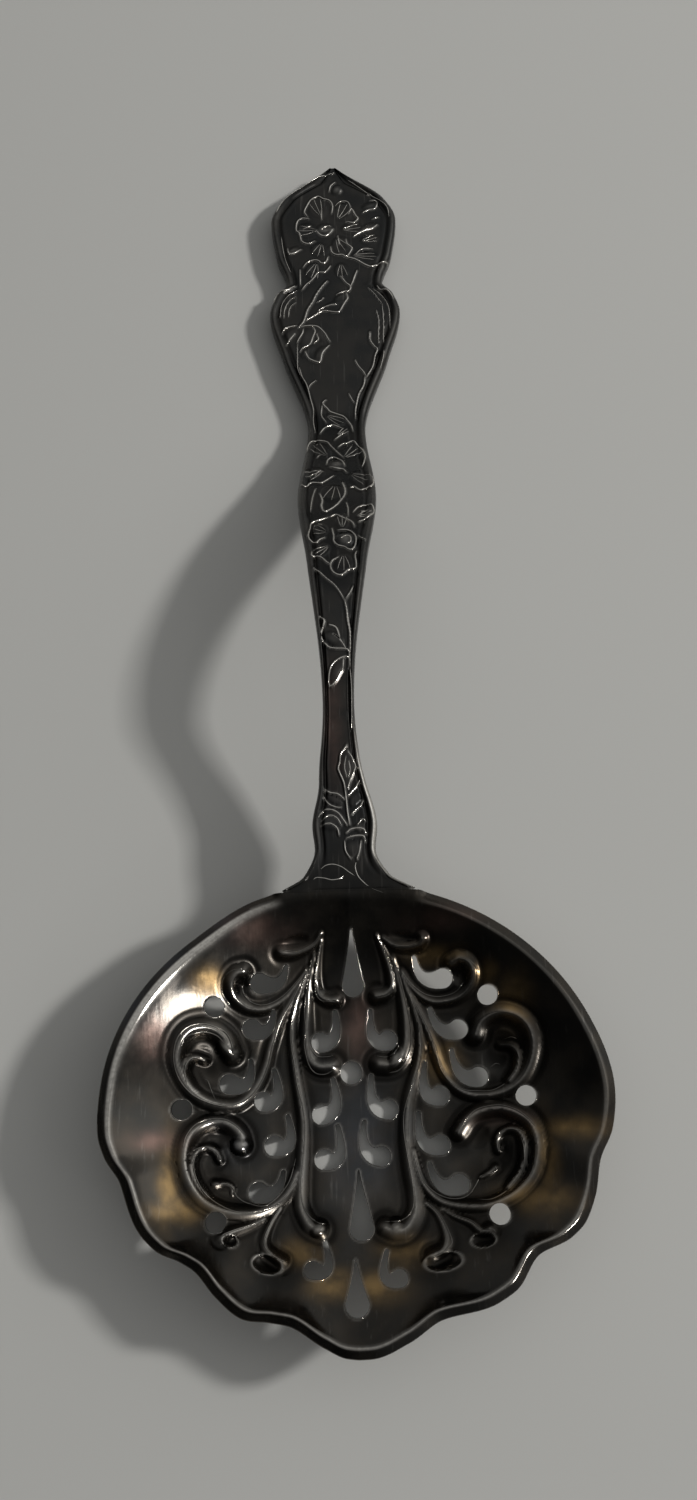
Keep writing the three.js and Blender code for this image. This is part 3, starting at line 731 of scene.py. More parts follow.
lobe_lines = [
    (0.20, -3.8, 49.7, -2.7, 50.4, -1.9, 50.9, -1.3, 51, -0.1, 50.8, 0.5, 50.9, 0.9, 51.6, 1.3, 52.3,
     1.6, 52.8, 1.5, 53.5),
    (0.16, -2.3, 51, -1.6, 51.5, -0.6, 51.8, 0.2, 51.9),
    (0.14, -2.4, 52.3, -1.8, 52.6, -1.5, 53),
    (0.20, 0.2, 53.4, 0.7, 53.6, 1.2, 53.8, 1.8, 53.9, 2, 54.5, 1.4, 55.1, 1, 55.7, 0.7, 56.1),
    (0.20, 2, 54.5, 2.3, 55.2, 2.6, 56.1, 2.9, 56.9),
    (0.20, -5.1, 49, -6.1, 48.8, -6.7, 48.5, -6.9, 48),
    (0.22, -5.3, 47.8, -5.9, 47, -6.4, 46.3),
    (0.20, -4.6, 48.8, -3.8, 48.9, -3.1, 48.9, -2.3, 48.7, -1.5, 47.8, -1.1, 47, -0.8, 46.5),
    (0.22, -0.9, 46, -1.6, 45.2, -1.9, 44.6, -2.2, 43.6, -3.3, 44, -3.7, 44.4, -4, 45.2),
    (0.20, -4.2, 48.5, -4.3, 47.9, -4.8, 47, -5, 46.5),
    (0.18, -3, 48.8, -2.7, 48.1, -3, 47.2, -3.4, 46.2, -4.3, 45.7, -4.7, 45.1),
    (0.18, -2.5, 47.7, -2.3, 46.9, -2.8, 46.4),
    (0.16, 2.3, 43.8, 2.7, 42.9, 3.3, 42.1, 3.7, 41.3),
    (0.10, -5, 46.2, -5, 44.6, -5, 42.9, -4.6, 41.7),
    (0.10, 6, 45, 5.9, 43.9, 5.5, 42.5),
    (0.10, 5.2, 51, 5.5, 49.4, 5.4, 47.4, 5.4, 46.2),
    (0.10, 6, 51.8, 6.1, 49.4, 6, 46.2),
    (0.10, 4.2, 54.3, 5, 53.4, 5.5, 52.6, 6, 51.8),
    (0.10, 4.9, 54.1, 5.8, 53.2, 6.6, 52, 6.9, 50.6, 6.9, 48.2),
    (0.10, -5, 54.1, -6.1, 53.4, -6.9, 52.2, -7.2, 50.2),
    (0.10, -5.1, 53.3, -5.9, 52.7, -6.5, 51.6, -6.7, 50.2),
    (0.10, -5.1, 52.4, -5.7, 51.9, -6, 51.2, -6.1, 50.2),
    (0.24, -5.1, 54.9, -6.2, 54.2, -7.2, 54, -7.8, 53.4, -8, 52.7),
    (0.24, 5.4, 54.5, 5.8, 54, 6.6, 53.8, 7.1, 53.2, 7.4, 52.6),
]
struck_strokes(lobe_lines, height=0.12)
print(len(flowers.ribs), "ribs down to the lobes")

# %% Flowers of the swell
swell_petals = [
    (-2.3, 30, 1.61, 1.25, 130), (1.6, 29.5, 1.5, 1.31, 45), (-0.4, 35.3, 1.48, 0.93, -30),
    (0.5, 33.2, 0.99, 0.66, 40), (-3, 25.7, 1.47, 1.27, 210), (2.5, 24.8, 1.47, 1.4, -30),
    (-0.7, 22.1, 1.56, 1.63, 260), (-2.3, 15.8, 1.03, 1.11, 160), (0.3, 17.2, 1.28, 0.87, 90),
    (-2.1, 12.8, 1.16, 0.92, 215), (0.4, 10.9, 1.29, 1.1, 270), (2.9, 18.3, 1.19, 0.74, 25),
]
struck_petals(swell_petals, hollow_long=0.72, hollow_short=0.7, hollow_height=-0.18)
flowers.oval(-0.3, 27.3, 1.06, 1.05, 0, 0.3)
flowers.oval(0.6, 14.4, 1.16, 1.07, 20, 0.3)
swell_stems = [
    (0.22, 0.45, 3.5, 41.3, 3.4, 40.4, 3.2, 39.8, 2.7, 38.9, 2.4, 37.7, 2.2, 36.5, 2.2, 35.5),
    (0.16, 0.42, -2.8, 23, -3.1, 21.7, -3.3, 20.2, -3.4, 18.9),
    (0.14, 0.42, 0.8, 20.4, 1, 19.3, 1, 18),
    (0.20, 0.42, -3, 10.3, -2.3, 9.6, -1.6, 8.8, -0.8, 8, -0.2, 7.1, 0.3, 6.1),
    (0.20, 0.42, 1.4, 7.7, 1.1, 7, 0.6, 6.2),
    (0.24, 0.45, 0.4, 6, 0.6, 4.7, 0.7, 3.5, 0.9, 2.2, 0.9, 0.5, 0.8, -0.5, 0.8, -1.9),
]
struck_stems(swell_stems, height=0.14)
swell_lines = [
    (0.16, -4.8, 42.9, -4.5, 41.7, -3.9, 40.4, -3.4, 38.3, -3.1, 36.9, -3.1, 35, -2.9, 33.4),
    (0.16, -3.7, 39.8, -3.4, 40.4, -2.7, 41),
    (0.16, 1.4, 39, 1.8, 38.1, 2.1, 37.7),
    (0.22, -1.5, 38.2, -1.9, 37.7, -1.3, 36.9, -1, 36.5, -0.1, 36.1, 0.7, 35.7, 1.2, 35, 1.6, 34.3,
     1.8, 33.4),
    (0.16, -2, 37.4, -2.1, 36, -1.5, 34.9),
    (0.20, -2.3, 33.1, -1.8, 33.9, -1.1, 34.3, -0.6, 34.4, 0.5, 33.8),
    (0.20, 0.5, 32.9, 0, 32.4, -0.5, 31.9),
    (0.22, -3.9, 30, -3.8, 30.9, -3.2, 31.7, -2.3, 31.8, -1.4, 31.5, -0.9, 30.7, 0.1, 29.2, 0.6, 28.6),
    (0.22, -0.1, 30.5, 0.5, 31.1, 1, 31.2, 1.8, 31.6, 2.3, 30.9, 2.9, 29.9, 3.2, 28.8, 3.1, 27.8, 2.8,
     26.9),
    (0.22, -1.5, 27.4, -1.3, 28.3, -0.7, 28.7, 0, 28.3, 0.5, 27.8, 0.7, 27),
    (0.26, -1.1, 26.9, -0.4, 26.6, 0.5, 26.4, 0.9, 25.8),
    (0.18, -2.7, 28.7, -2.3, 29.2),
    (0.18, -2.9, 25.3, -2.5, 26.1, -1.9, 26.1),
    (0.22, -4.5, 23.7, -4, 23.4, -3.5, 24, -3, 24.1, -2.3, 24, -1.8, 24.2, -0.6, 25.3),
    (0.22, 1.3, 23, 1.8, 23.2, 2.1, 22.8, 2.6, 22.5, 3.3, 22.9, 3.9, 23.2, 4.1, 24, 4, 25),
    (0.24, -2.3, 22.1, -2, 20.8, -2.1, 19.8, -1.8, 18.9, -1.1, 19.2, -0.3, 20, 0.2, 20.8, 0.6, 21.6,
     0.7, 22.6, 0.4, 24),
    (0.20, 1.6, 18.7, 2.2, 19.5, 3, 19.8, 3.8, 19.7, 4, 18.8, 3.6, 18, 2.8, 17.4, 2.2, 17),
    (0.20, 2.4, 17.9, 2.7, 18.7, 3.3, 18.8),
    (0.22, -1.1, 18, -0.4, 18.3, 0.2, 17.9, 1, 17.4, 1.5, 16.9, 1.7, 16.3),
    (0.20, -1.3, 17.9, -2.6, 17.4, -3.3, 17, -3.4, 16.3, -3.6, 14.9, -3.3, 14.2, -2.7, 13.9, -2.3,
     14.4, -1.7, 14.7),
    (0.20, -0.9, 16.1, -0.8, 15.5, -0.7, 14.8, -0.7, 14.1, -0.3, 13.5, 0.5, 13.2, 1, 12.8, 1.5, 12.9,
     1.8, 13.7, 1.8, 14.7, 1.3, 15.5, 0.6, 15.8, -0.2, 15.8),
    (0.18, 0.1, 14.4, 0.7, 14.8, 1.2, 14.6, 1.2, 13.9, 0.8, 13.7),
    (0.18, 2.1, 14.9, 2.9, 14.1),
    (0.22, -3.2, 12.6, -3.2, 12, -2.6, 11.9, -2.1, 11.7, -1.6, 11.1, -1.2, 10.8),
    (0.22, -0.2, 11.7, -0.9, 11.2, -1.1, 10.4, -0.8, 9.6, -0.1, 9.2, 0.4, 9.4, 0.9, 9.9, 1.7, 10.1,
     1.8, 10.9, 1.7, 11.9, 1.9, 12.5),
]
struck_strokes(swell_lines)
print(len(flowers.ribs), "ribs down to the swell")

# %% Leaves of the shank and the neck
for x, y, long, short, turn in [
    (-0.9, 1.3, 1.32, 0.82, 150), (-0.7, -2.2, 1.58, 0.6, 60), (0.1, -12.2, 2.07, 0.86, 90),
    (-1.3, -15.8, 1.02, 0.52, 150), (1, -15.7, 1.04, 0.62, 50), (0.5, -21.1, 1.06, 0.9, 90),
    (-1.7, -18.1, 1.42, 1.06, 170), (1.4, -18.7, 0.81, 0.53, 20),
]:
    flowers.oval(x, y, long, short, turn, 0.18)
neck_lines = [
    (0.12, 0.8, -1.9, 0.9, -4.4, 0.8, -8.3),
    (0.20, 0.9, -0.5, 0.5, 0.1, -0.8, 0.2, -1.5, 0.4, -2.1, 1.1, -2.3, 1.7, -2.2, 2.3, -2, 2.9, -1.9,
     3.5, -2.4, 4),
    (0.14, 0.5, 0, -0.3, 1.3, -1, 1.9),
    (0.14, -0.2, 1.4, -0.6, 2.6, -1.4, 3),
    (0.18, 0.8, -0.8, 0.3, -0.7, -0.3, -0.9, -0.9, -1.3, -1.3, -1.8, -1.5, -2.5, -1.6, -3.5),
    (0.20, -1.6, -3.5, -1.4, -3.8, -0.8, -3.3, -0.3, -2.5, 0, -2, 0.1, -1),
    (0.20, 0.2, -9.9, 0, -10.2, -0.5, -10.9, -0.6, -11.6, -0.8, -12.3, -0.7, -12.7, -0.4, -13.4, -0.2,
     -14, -0.1, -14.7),
    (0.20, 0.3, -10.5, 0.8, -11.3, 1.1, -12.1, 0.9, -12.8, 0.5, -13.6, 0.2, -14.5),
    (0.14, 0.1, -11.1, -0.1, -12.2, 0.1, -13.2),
    (0.14, 0.4, -11.6, 0.5, -12.5, 0.3, -13.3),
    (0.20, -0.1, -14.7, 0, -15.8, 0.1, -17.1, 0.3, -18.5),
    (0.20, -2.4, -14.5, -1.8, -14.9, -0.9, -15.1, -0.2, -15.7),
    (0.16, -2.5, -15.3, -2, -16.1, -1.2, -16.5, -0.6, -16.6),
    (0.20, 1.5, -13.7, 1.1, -14.4, 0.6, -14.9, 0.2, -15.4),
    (0.18, 1.9, -15.8, 1.6, -16.4, 1, -16.9, 0.5, -17.4),
    (0.20, -3, -17.4, -2.4, -16.8, -1.6, -16.8, -0.9, -17.2, -0.4, -17.9, 0, -18.5),
    (0.16, -2.8, -18, -1.9, -17.4, -1.1, -17.7, -0.6, -18.5),
    (0.18, -2.8, -18.5, -1.9, -18.3, -1.1, -18.8, -0.9, -19.6),
    (0.18, 1.2, -18.5, 1.7, -17.9, 2.1, -18.1),
    (0.24, -0.1, -19.4, 0.4, -19, 1.1, -18.9, 1.8, -19, 2.1, -19.5),
    (0.24, -0.1, -20, 0.5, -19.8, 1.2, -19.7, 1.8, -19.8, 2, -20.3),
    (0.18, -0.3, -20.3, -0.2, -21.4, 0.3, -22.2),
    (0.18, 1.5, -20.3, 1.3, -21.5, 1, -22.3),
]
struck_strokes(neck_lines)
flowers.line(0.16, -3, -23.3, -2.4, -22.9, -1.6, -22.8, -0.7, -23.1, 0.1, -23.7, 0.7, -24.1)
flowers.line(0.16, -3.8, -24.4, -3.4, -24.2, -2.6, -24.3, -1.8, -24.5, -1, -24.4, -0.5, -24.1)
flowers.line(0.16, 0.9, -22.6, 0.8, -23.3, 1.1, -24.2, 1.8, -25, 2.2, -25.3)
scrolls.line(0.16, 2.4, -25.4, 2.7, -25.6, 3.8, -26)
print(len(flowers.ribs), "ribs and", len(flowers.lines), "fine lines on the handle")

# %% [markdown]
# The bowl is pierced. A jeweller drills a hole and follows the drawing with a file, so most
# openings are the track of a round file that grows along a bent stroke: a petal. Three more
# are drops along the middle, and the rest are plain drilled holes. Each outline also gets a
# fine line, because the file leaves a bright edge.

# %% Outlines of the openings
petals = [
    (0.074, 0.434, 0.059, 0.268, 0.141, 0.300), (0.070, 0.140, 0.052, -0.026, 0.137, -0.013),
    (0.037, -0.068, 0.013, -0.226, 0.102, -0.221), (0.257, 0.664, 0.270, 0.540, 0.370, 0.568),
    (0.315, 0.434, 0.348, 0.302, 0.426, 0.338), (0.398, 0.243, 0.415, 0.098, 0.500, 0.121),
    (0.289, 0.191, 0.259, 0.017, 0.344, 0.043), (0.257, -0.034, 0.244, -0.209, 0.339, -0.177),
    (0.293, -0.260, 0.319, -0.396, 0.406, -0.351), (-0.070, 0.434, -0.052, 0.285, -0.130, 0.298),
    (-0.085, 0.128, -0.048, -0.030, -0.133, -0.030), (-0.070, -0.085, -0.031, -0.264, -0.126, -0.230),
    (-0.263, 0.638, -0.281, 0.536, -0.370, 0.566), (-0.319, 0.438, -0.333, 0.315, -0.407, 0.362),
    (-0.415, 0.217, -0.404, 0.077, -0.500, 0.115), (-0.322, 0.174, -0.281, 0.013, -0.363, 0.034),
    (-0.270, -0.034, -0.230, -0.200, -0.324, -0.164), (-0.289, -0.281, -0.304, -0.400, -0.385, -0.366),
]
small_petals = [
    (0.113, -0.626, 0.070, -0.770, 0.159, -0.736),
    (-0.126, -0.587, -0.081, -0.736, -0.174, -0.694),
]
drops = [
    (0.004, 0.792, 0.006, 0.552, 1.25), (0.009, -0.285, 0.019, -0.528, 1.35),
    (-0.009, -0.664, -0.004, -0.834, 1.3),
]
eyelets = [
    (0.546, 0.485), (0.681, 0.030), (0.552, -0.477),
    (-0.553, 0.460), (-0.683, 0.004), (-0.543, -0.485),
]
bowl_length = joint_y - bowl_low[1]
petal_radius = 1.12
small_petal_radius = 0.92
petal_tail_radius = 0.3
drop_point_radius = 0.15
eyelet_radius = 1.12
middle_hole = (-0.010, 0.157)
middle_hole_radius = 1.27
file_line_width = 0.1


def on_bowl(across, along):
    """A place given as shares of the bowl's half width and half length, from its widest line."""
    return np.array([across * bowl_half_width, widest_y + along * bowl_length / 2])


def file_track(tail, bend, lobe, tail_radius, lobe_radius, steps=14):
    """The outline that a growing circle leaves along a quadratic curve, with round ends."""
    t = np.linspace(0, 1, steps)[:, None]
    middle = (1 - t) ** 2 * tail + 2 * t * (1 - t) * bend + t**2 * lobe
    along = (1 - t) * (bend - tail) + t * (lobe - bend)
    along /= np.hypot(*along.T)[:, None]
    side = np.column_stack([-along[:, 1], along[:, 0]]) * blend(tail_radius, lobe_radius, t**1.2)
    turn = np.linspace(0, np.pi, 14)[1:-1, None]
    far_end = lobe + np.cos(turn) * side[-1] + np.sin(turn) * along[-1] * lobe_radius
    near_end = tail - np.cos(turn[::2]) * side[0] - np.sin(turn[::2]) * along[0] * tail_radius
    return np.vstack([middle + side, far_end, (middle - side)[::-1], near_end])


def drilled(centre, radius, steps=28):
    """A circle."""
    turn = -2 * np.pi * np.arange(steps)[:, None] / steps
    return centre + radius * np.hstack([np.cos(turn), np.sin(turn)])


openings = []
for group, lobe_radius in ((petals, petal_radius), (small_petals, small_petal_radius)):
    for petal in group:
        tail, bend, lobe = (on_bowl(*petal[i:i + 2]) for i in (0, 2, 4))
        openings.append(file_track(tail, bend, lobe, petal_tail_radius, lobe_radius))
for *places, radius in drops:
    point, lobe = on_bowl(*places[:2]), on_bowl(*places[2:])
    openings.append(file_track(point, (point + lobe) / 2, lobe, drop_point_radius, radius))
openings += [drilled(on_bowl(*place), eyelet_radius) for place in eyelets]
openings.append(drilled(on_bowl(*middle_hole), middle_hole_radius))
for outline in openings:
    scrolls.lines.append((np.vstack([outline, outline[:1]]), file_line_width, 0.0, True))
print(len(openings), "openings")
# %% [markdown]
# The bowl is one closed skin. A square grid is bent into a disc, so that its cells stay nearly
# even and there is no pole in the middle. Rings go on from its edge over the ridge and the
# turned-down lip to the underside, which has half as many points. The underside follows the
# relief at a share of its height, because the ornament was pressed through the sheet.

# %% Heights of the bowl
ridge_slope = 0.75
ridge_bead = 0.06
worn_and_highlight_angle = -128
worn_and_highlight_spread = 34
cap_half = 0.3
worn_cap_half = 0.45
relief_full = 0.93
relief_gone = 0.98
under_share = 0.5


def bowl_height(x, y):
    """The dish and its relief, which fades out at the ridge of the rim."""
    angle, share = dish_share(x, y)
    relief = scrolls.relief(x, y)[0]
    return dish_height(angle, share) + relief * (1 - soft_step(relief_full, relief_gone, share))


def back_left(angle):
    """1 at the rim's upper left, where the ridge is worn broad and has a painted highlight; near 0
    elsewhere.
    """
    return np.exp(-(((np.degrees(angle) - worn_and_highlight_angle) / worn_and_highlight_spread) ** 2))


def heel_part(angle):
    """1 over the heel, 0 where the rim has its turned-down lip."""
    return 1 - soft_step(heel_edge, lip_full, math.pi - np.abs(angle))


def ridge_cap(angle, past):
    """How far wear lowers the ridge, past millimetres outside it: a parabola rounds its fold."""
    half = cap_half + worn_cap_half * back_left(angle)
    inside = np.clip(1 - np.abs(past) / half, 0, 1)
    return 0.5 * ridge_slope * half * inside**2 * (1 - heel_part(angle))


def lip_height(angle, out):
    """Over the lip, out going from 0 at the ridge to 1 at the edge: a round fall."""
    turned = dish_height(angle, 1.0) + ridge_bead - ridge_slope * out * lip_width
    turned = turned - ridge_cap(angle, out * lip_width)
    share = 1 + out * lip_width / (plain_reach(angle) - lip_width)
    heel = soft_least(bowl_wall + bowl_depth * share**dish_power, root_top, crease_round)
    from_heel = math.pi - np.abs(angle)
    return blend(heel, turned, soft_step(heel_edge, lip_full, from_heel))


def under_height(angle, share, relief):
    """A wall below the dish, measured square to its slope, and never lower than the table."""
    top = dish_height(angle, share)
    slope = bowl_depth * dish_power * share ** (dish_power - 1) / plain_reach(angle)
    return np.maximum(top - bowl_wall * np.hypot(1, slope) + under_share * relief, 0)


print("the lip falls to", round(float(lip_height(0.0, 1.0)), 2), "mm at the front")

# %% A disc of even cells


def disc_grid(cells):
    """A square grid bent into a unit disc: each coordinate shrinks with the square of the other."""
    u, v = np.meshgrid(np.linspace(-1, 1, cells + 1), np.linspace(-1, 1, cells + 1), indexing="ij")
    across = u * np.sqrt(1 - v * v / 2)
    along = v * np.sqrt(1 - u * u / 2)
    return np.arctan2(across, -along).ravel(), np.hypot(across, along).ravel()


def grid_quads(cells):
    """Four corners of each cell, turning left as seen from above."""
    i, j = np.meshgrid(np.arange(cells), np.arange(cells), indexing="ij")
    corner = (i * (cells + 1) + j).ravel()
    return np.column_stack([corner, corner + cells + 1, corner + cells + 2, corner + 1])


def grid_edge(cells):
    """The points round the grid, turning left."""
    side = np.arange(cells)
    last = cells * (cells + 1)
    return np.concatenate([
        side * (cells + 1), last + side, last + cells - side * (cells + 1), cells - side,
    ])


def ring_quads(inner, outer):
    """Cells between two rings of equally many points, both turning left."""
    return np.column_stack([inner, outer, np.roll(outer, -1), np.roll(inner, -1)])


print(len(grid_quads(4)), "cells in a grid of 4 by 4")

# %% [markdown]
# The rim is what the light draws first, so it has rings of its own: six up to the ridge, seven
# down over the lip, four round the thin edge and one back in below it.

# %% Rings of the rim
grid_share = 0.955
ridge_shares = (0.965, 0.974, 0.982, 0.989, 0.995, 1.0)
lip_outs = (0.1, 0.2, 0.35, 0.5, 0.7, 0.88, 0.97)
edge_turns = ((0.0, 0.12), (0.0, 0.5), (0.03, 0.85), (0.12, 1.0))
lip_edge = 0.6
heel_wall = 1.3
last_share = 0.985
last_set_in = 0.6


def rim_ring(angle, set_in, height):
    """A ring of the rim, a little way in from its edge."""
    reach = rim_reach(angle) - set_in
    return np.column_stack([reach * np.sin(angle), widest_y - reach * np.cos(angle), height])


def rim_rings(angle):
    """Rings up to the ridge, over the lip, down its edge and back in under it."""
    rings = []
    for share in ridge_shares:
        x, y = dish_place(angle, share)
        past = (share - 1) * (rim_reach(angle) - lip_width)
        bead = ridge_bead * soft_step(grid_share, 1, share) * (1 - heel_part(angle))
        height = dish_height(angle, share) + bead - ridge_cap(angle, past)
        rings.append(np.column_stack([x, y, height]))
    for out in lip_outs:
        rings.append(rim_ring(angle, lip_width * (1 - out), lip_height(angle, out)))
    edge_top = lip_height(angle, 1.0)
    edge_drop = blend(lip_edge, heel_wall, heel_part(angle))
    for set_in, drop in edge_turns:
        rings.append(rim_ring(angle, set_in, edge_top - drop * edge_drop))
    below = blend(edge_top - edge_drop, under_height(angle, last_share, 0), 0.5)
    rings.append(rim_ring(angle, last_set_in, below))
    return rings


print(len(ridge_shares) + len(lip_outs) + len(edge_turns) + 1, "rings round the rim")

# %% The skin of the bowl
fine_cells = 240
coarse_cells = fine_cells // 2
even_part = 0.93
squared_part = 0.07


def halving_faces(fine, coarse):
    """Triangles between a ring and one that has half as many points."""
    first, middle, last = fine[0::2], fine[1::2], np.roll(fine[0::2], -1)
    after = np.roll(coarse, -1)
    faces = np.column_stack([first, coarse, middle]).tolist()
    faces += np.column_stack([middle, coarse, after]).tolist()
    return faces + np.column_stack([middle, after, last]).tolist()


def bowl_skin():
    """Points in millimetres, and faces: fine grid, rings over the rim, coarse grid underneath."""
    angle, share = disc_grid(fine_cells)
    share = grid_share * share * (even_part + squared_part * share**2)
    x, y = dish_place(angle, share)
    layers = [np.column_stack([x, y, bowl_height(x, y)])]
    faces = grid_quads(fine_cells).tolist()
    inner = grid_edge(fine_cells)
    total = len(x)
    for ring in rim_rings(angle[inner]):
        outer = total + np.arange(len(inner))
        faces += ring_quads(inner, outer).tolist()
        layers.append(ring)
        total += len(ring)
        inner = outer
    angle, share = disc_grid(coarse_cells)
    share = grid_share * share
    x, y = dish_place(angle, share)
    relief = scrolls.relief(x, y)[0] * (1 - soft_step(0.8, 0.9, share))
    layers.append(np.column_stack([x, y, under_height(angle, share, relief)]))
    faces += (total + grid_quads(coarse_cells)[:, ::-1]).tolist()
    faces += halving_faces(inner, total + grid_edge(coarse_cells))
    return np.vstack(layers), faces


bowl_points, bowl_faces = bowl_skin()
print(len(bowl_points), "points in the skin of the bowl")

# %% Meshes from points


def new_piece(name, points, faces, trimmed=True):
    """An object at the origin from points in millimetres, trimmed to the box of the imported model."""
    if trimmed:
        points = np.clip(points, np.array(cad_box[0]) / MM, np.array(cad_box[1]) / MM)
    mesh = bpy.data.meshes.new(name)
    mesh.from_pydata((np.asarray(points) * MM).tolist(), [], faces)
    mesh.validate()
    piece = bpy.data.objects.new(name, mesh)
    bpy.context.scene.collection.objects.link(piece)
    if signed_volume(mesh) < 0:
        mesh.flip_normals()
    return piece


def points_of(mesh):
    """The points of a mesh as an array, in millimetres."""
    flat = np.empty(3 * len(mesh.vertices))
    mesh.vertices.foreach_get("co", flat)
    return flat.reshape(-1, 3) / MM


def signed_volume(mesh):
    """Six times the volume that the triangles enclose; it is negative where they face inwards."""
    mesh.calc_loop_triangles()
    corners = np.empty(3 * len(mesh.loop_triangles), dtype=int)
    mesh.loop_triangles.foreach_get("vertices", corners)
    a, b, c = (points_of(mesh)[corners[i::3]] for i in range(3))
    return float((a * np.cross(b, c)).sum())


def smooth_faces(mesh, sharp_degrees):
    """Smooth shading, apart from edges that turn by more than an angle."""
    mesh.shade_smooth()
    mesh.set_sharp_from_angle(angle=math.radians(sharp_degrees))


def prisms(outlines, low, high):
    """One upright prism for each outline, as points and faces."""
    points, faces, start = [], [], 0
    for outline in outlines:
        count = len(outline)
        bottom = start + np.arange(count)
        top = bottom + count
        points.append(np.column_stack([outline, np.full(count, low)]))
        points.append(np.column_stack([outline, np.full(count, high)]))
        faces += ring_quads(top, bottom).tolist()
        faces += [top.tolist(), bottom[::-1].tolist()]
        start += 2 * count
    return np.vstack(points), faces


def cut(piece, cutter):
    """Takes the cutter away from the piece and keeps the result as the piece's own mesh."""
    difference = piece.modifiers.new("cut", "BOOLEAN")
    difference.operation = "DIFFERENCE"
    difference.solver = "MANIFOLD"
    difference.object = cutter
    graph = bpy.context.evaluated_depsgraph_get()
    result = bpy.data.meshes.new_from_object(piece.evaluated_get(graph))
    piece.modifiers.clear()
    piece.data = result
    bpy.data.objects.remove(cutter)


cutter_low = -1
cutter_high = rim_height + 3
cut_half = 30
cut_end = joint_y + 5
past_joint = np.array([
    [-cut_half, joint_y], [-cut_half, cut_end], [cut_half, cut_end], [cut_half, joint_y],
])
files = prisms(openings + [past_joint], cutter_low, cutter_high)
cutter = new_piece("piercing_files", *files, trimmed=False)
bowl = new_piece("bowl_silver_shell", bowl_points, bowl_faces)
cut(bowl, cutter)
smooth_faces(bowl.data, 38)
bowl.data.calc_loop_triangles()
print(len(bowl.data.loop_triangles), "triangles in the pierced bowl")

# %% [markdown]
# The handle's skin is a row of rings, one for each step along the bar. Most points of a ring lie
# on the top, where the relief is, and a few go round the edge and along the plain back.

# %% The skin of the handle
handle_rows = 560
top_columns = 96
back_columns = 7
rounded_corner = 0.5


def handle_surface(x, y):
    """The bar with its border, and the relief of the flowers, which fades at the border."""
    half = half_width_at(y - root_y)
    gap = half - np.abs(x - lean_at(y - root_y))
    relief = flowers.relief(x, y)[0]
    return handle_height(x, y) + relief * soft_step(0.15, 0.5, gap)


def edge_columns(half, edge_z, under, corner):
    """From the top's edge down the side and in under it: how far out each column is, and how high."""
    depth = edge_z - under
    out = [half - 0.02, half, half - 0.05, half - 0.5 * corner, half - 1.1 * corner, half - 2 * corner]
    heights = [edge_z - fall * depth for fall in (0.14, 0.4, 0.7, 0.9, 0.98)]
    return np.hstack(out), np.hstack(heights + [under])


def handle_skin():
    """Rings across the bar: its top, then the right edge, the back and the left edge."""
    along = np.linspace(0, handle_length, handle_rows + 1)[:, None]
    half = half_width_at(along)
    lean = lean_at(along)
    spread = np.linspace(-1, 1, top_columns + 1)[None, :]
    across = spread * (1.12 - 0.12 * spread**2)
    top_x = lean + across * (half - 0.08)
    top_y = root_y + along + 0 * across
    top_z = handle_surface(top_x.ravel(), top_y.ravel()).reshape(top_x.shape)
    under = arch_top(along) - thickness_at(along)
    corner = np.minimum(rounded_corner, half / 3)
    right_out, right_z = edge_columns(half, top_z[:, -1:], under, corner)
    left_out, left_z = edge_columns(half, top_z[:, :1], under, corner)
    flat = np.linspace(1, -1, back_columns + 2)[None, 1:-1]
    back_x = lean + flat * (half - 2 * corner)
    x = np.hstack([top_x, lean + right_out, back_x, lean - left_out[:, ::-1]])
    z = np.hstack([top_z, right_z, under + 0 * flat, left_z[:, ::-1]])
    y = root_y + along + 0 * x
    points = np.stack([x, y, z], axis=2).reshape(-1, 3)
    ring = np.arange(x.shape[1])
    faces = []
    for row in range(handle_rows):
        faces += ring_quads(row * len(ring) + ring, (row + 1) * len(ring) + ring).tolist()
    faces += [ring.tolist(), (handle_rows * len(ring) + ring)[::-1].tolist()]
    return points, faces


handle = new_piece("handle_silver_bar", *handle_skin())
smooth_faces(handle.data, 50)
handle.data.calc_loop_triangles()
print(len(handle.data.loop_triangles), "triangles in the handle")

# %% [markdown]
# Bowl and handle are joined with a hair of silver solder, filed flush. It is a thin strip whose
# top runs on from the handle's root, so only a change of tone gives the joint away.

# %% The solder
solder_bottom = corners_of("solder_seam")[0][2]
solder_half = 7.1
solder_flat_half = 6.4
solder_sunk = 0.015
solder_rounded = 0.3


def solder_strip(columns=48):
    """The root's outline, carried over the width of the joint and rounded off at both ends."""
    x = np.linspace(-solder_half, solder_half, columns)
    rows = []
    for y in (joint_y, root_y):
        ends = solder_rounded * soft_step(solder_flat_half, solder_half, np.abs(x))
        top = handle_height(x, np.full(columns, root_y)) - solder_sunk - ends
        upper = np.column_stack([x, np.full(columns, y), top])
        lower = np.column_stack([x, np.full(columns, y), np.full(columns, solder_bottom)])
        rows.append(np.vstack([upper, lower[::-1]]))
    ring = np.arange(2 * columns)
    faces = ring_quads(ring, ring + 2 * columns).tolist()
    faces += [ring.tolist(), (ring[::-1] + 2 * columns).tolist()]
    return np.vstack(rows), faces


solder = new_piece("solder_strip", *solder_strip())
smooth_faces(solder.data, 40)
print("solder", round(root_y - joint_y, 2), "mm wide")

# %% [markdown]
# Fine lines stand a tenth of a millimetre proud. Each is an oval carried along its path, sunk in
# the metal nearly to its middle, thin at both ends and, on the stems, swelling to a row
# of grains. All lines of a piece are one mesh.

# %% Fine lines
oval_points = 8
line_proud = 0.03
oval_flat = 0.8
line_end_length = 0.7


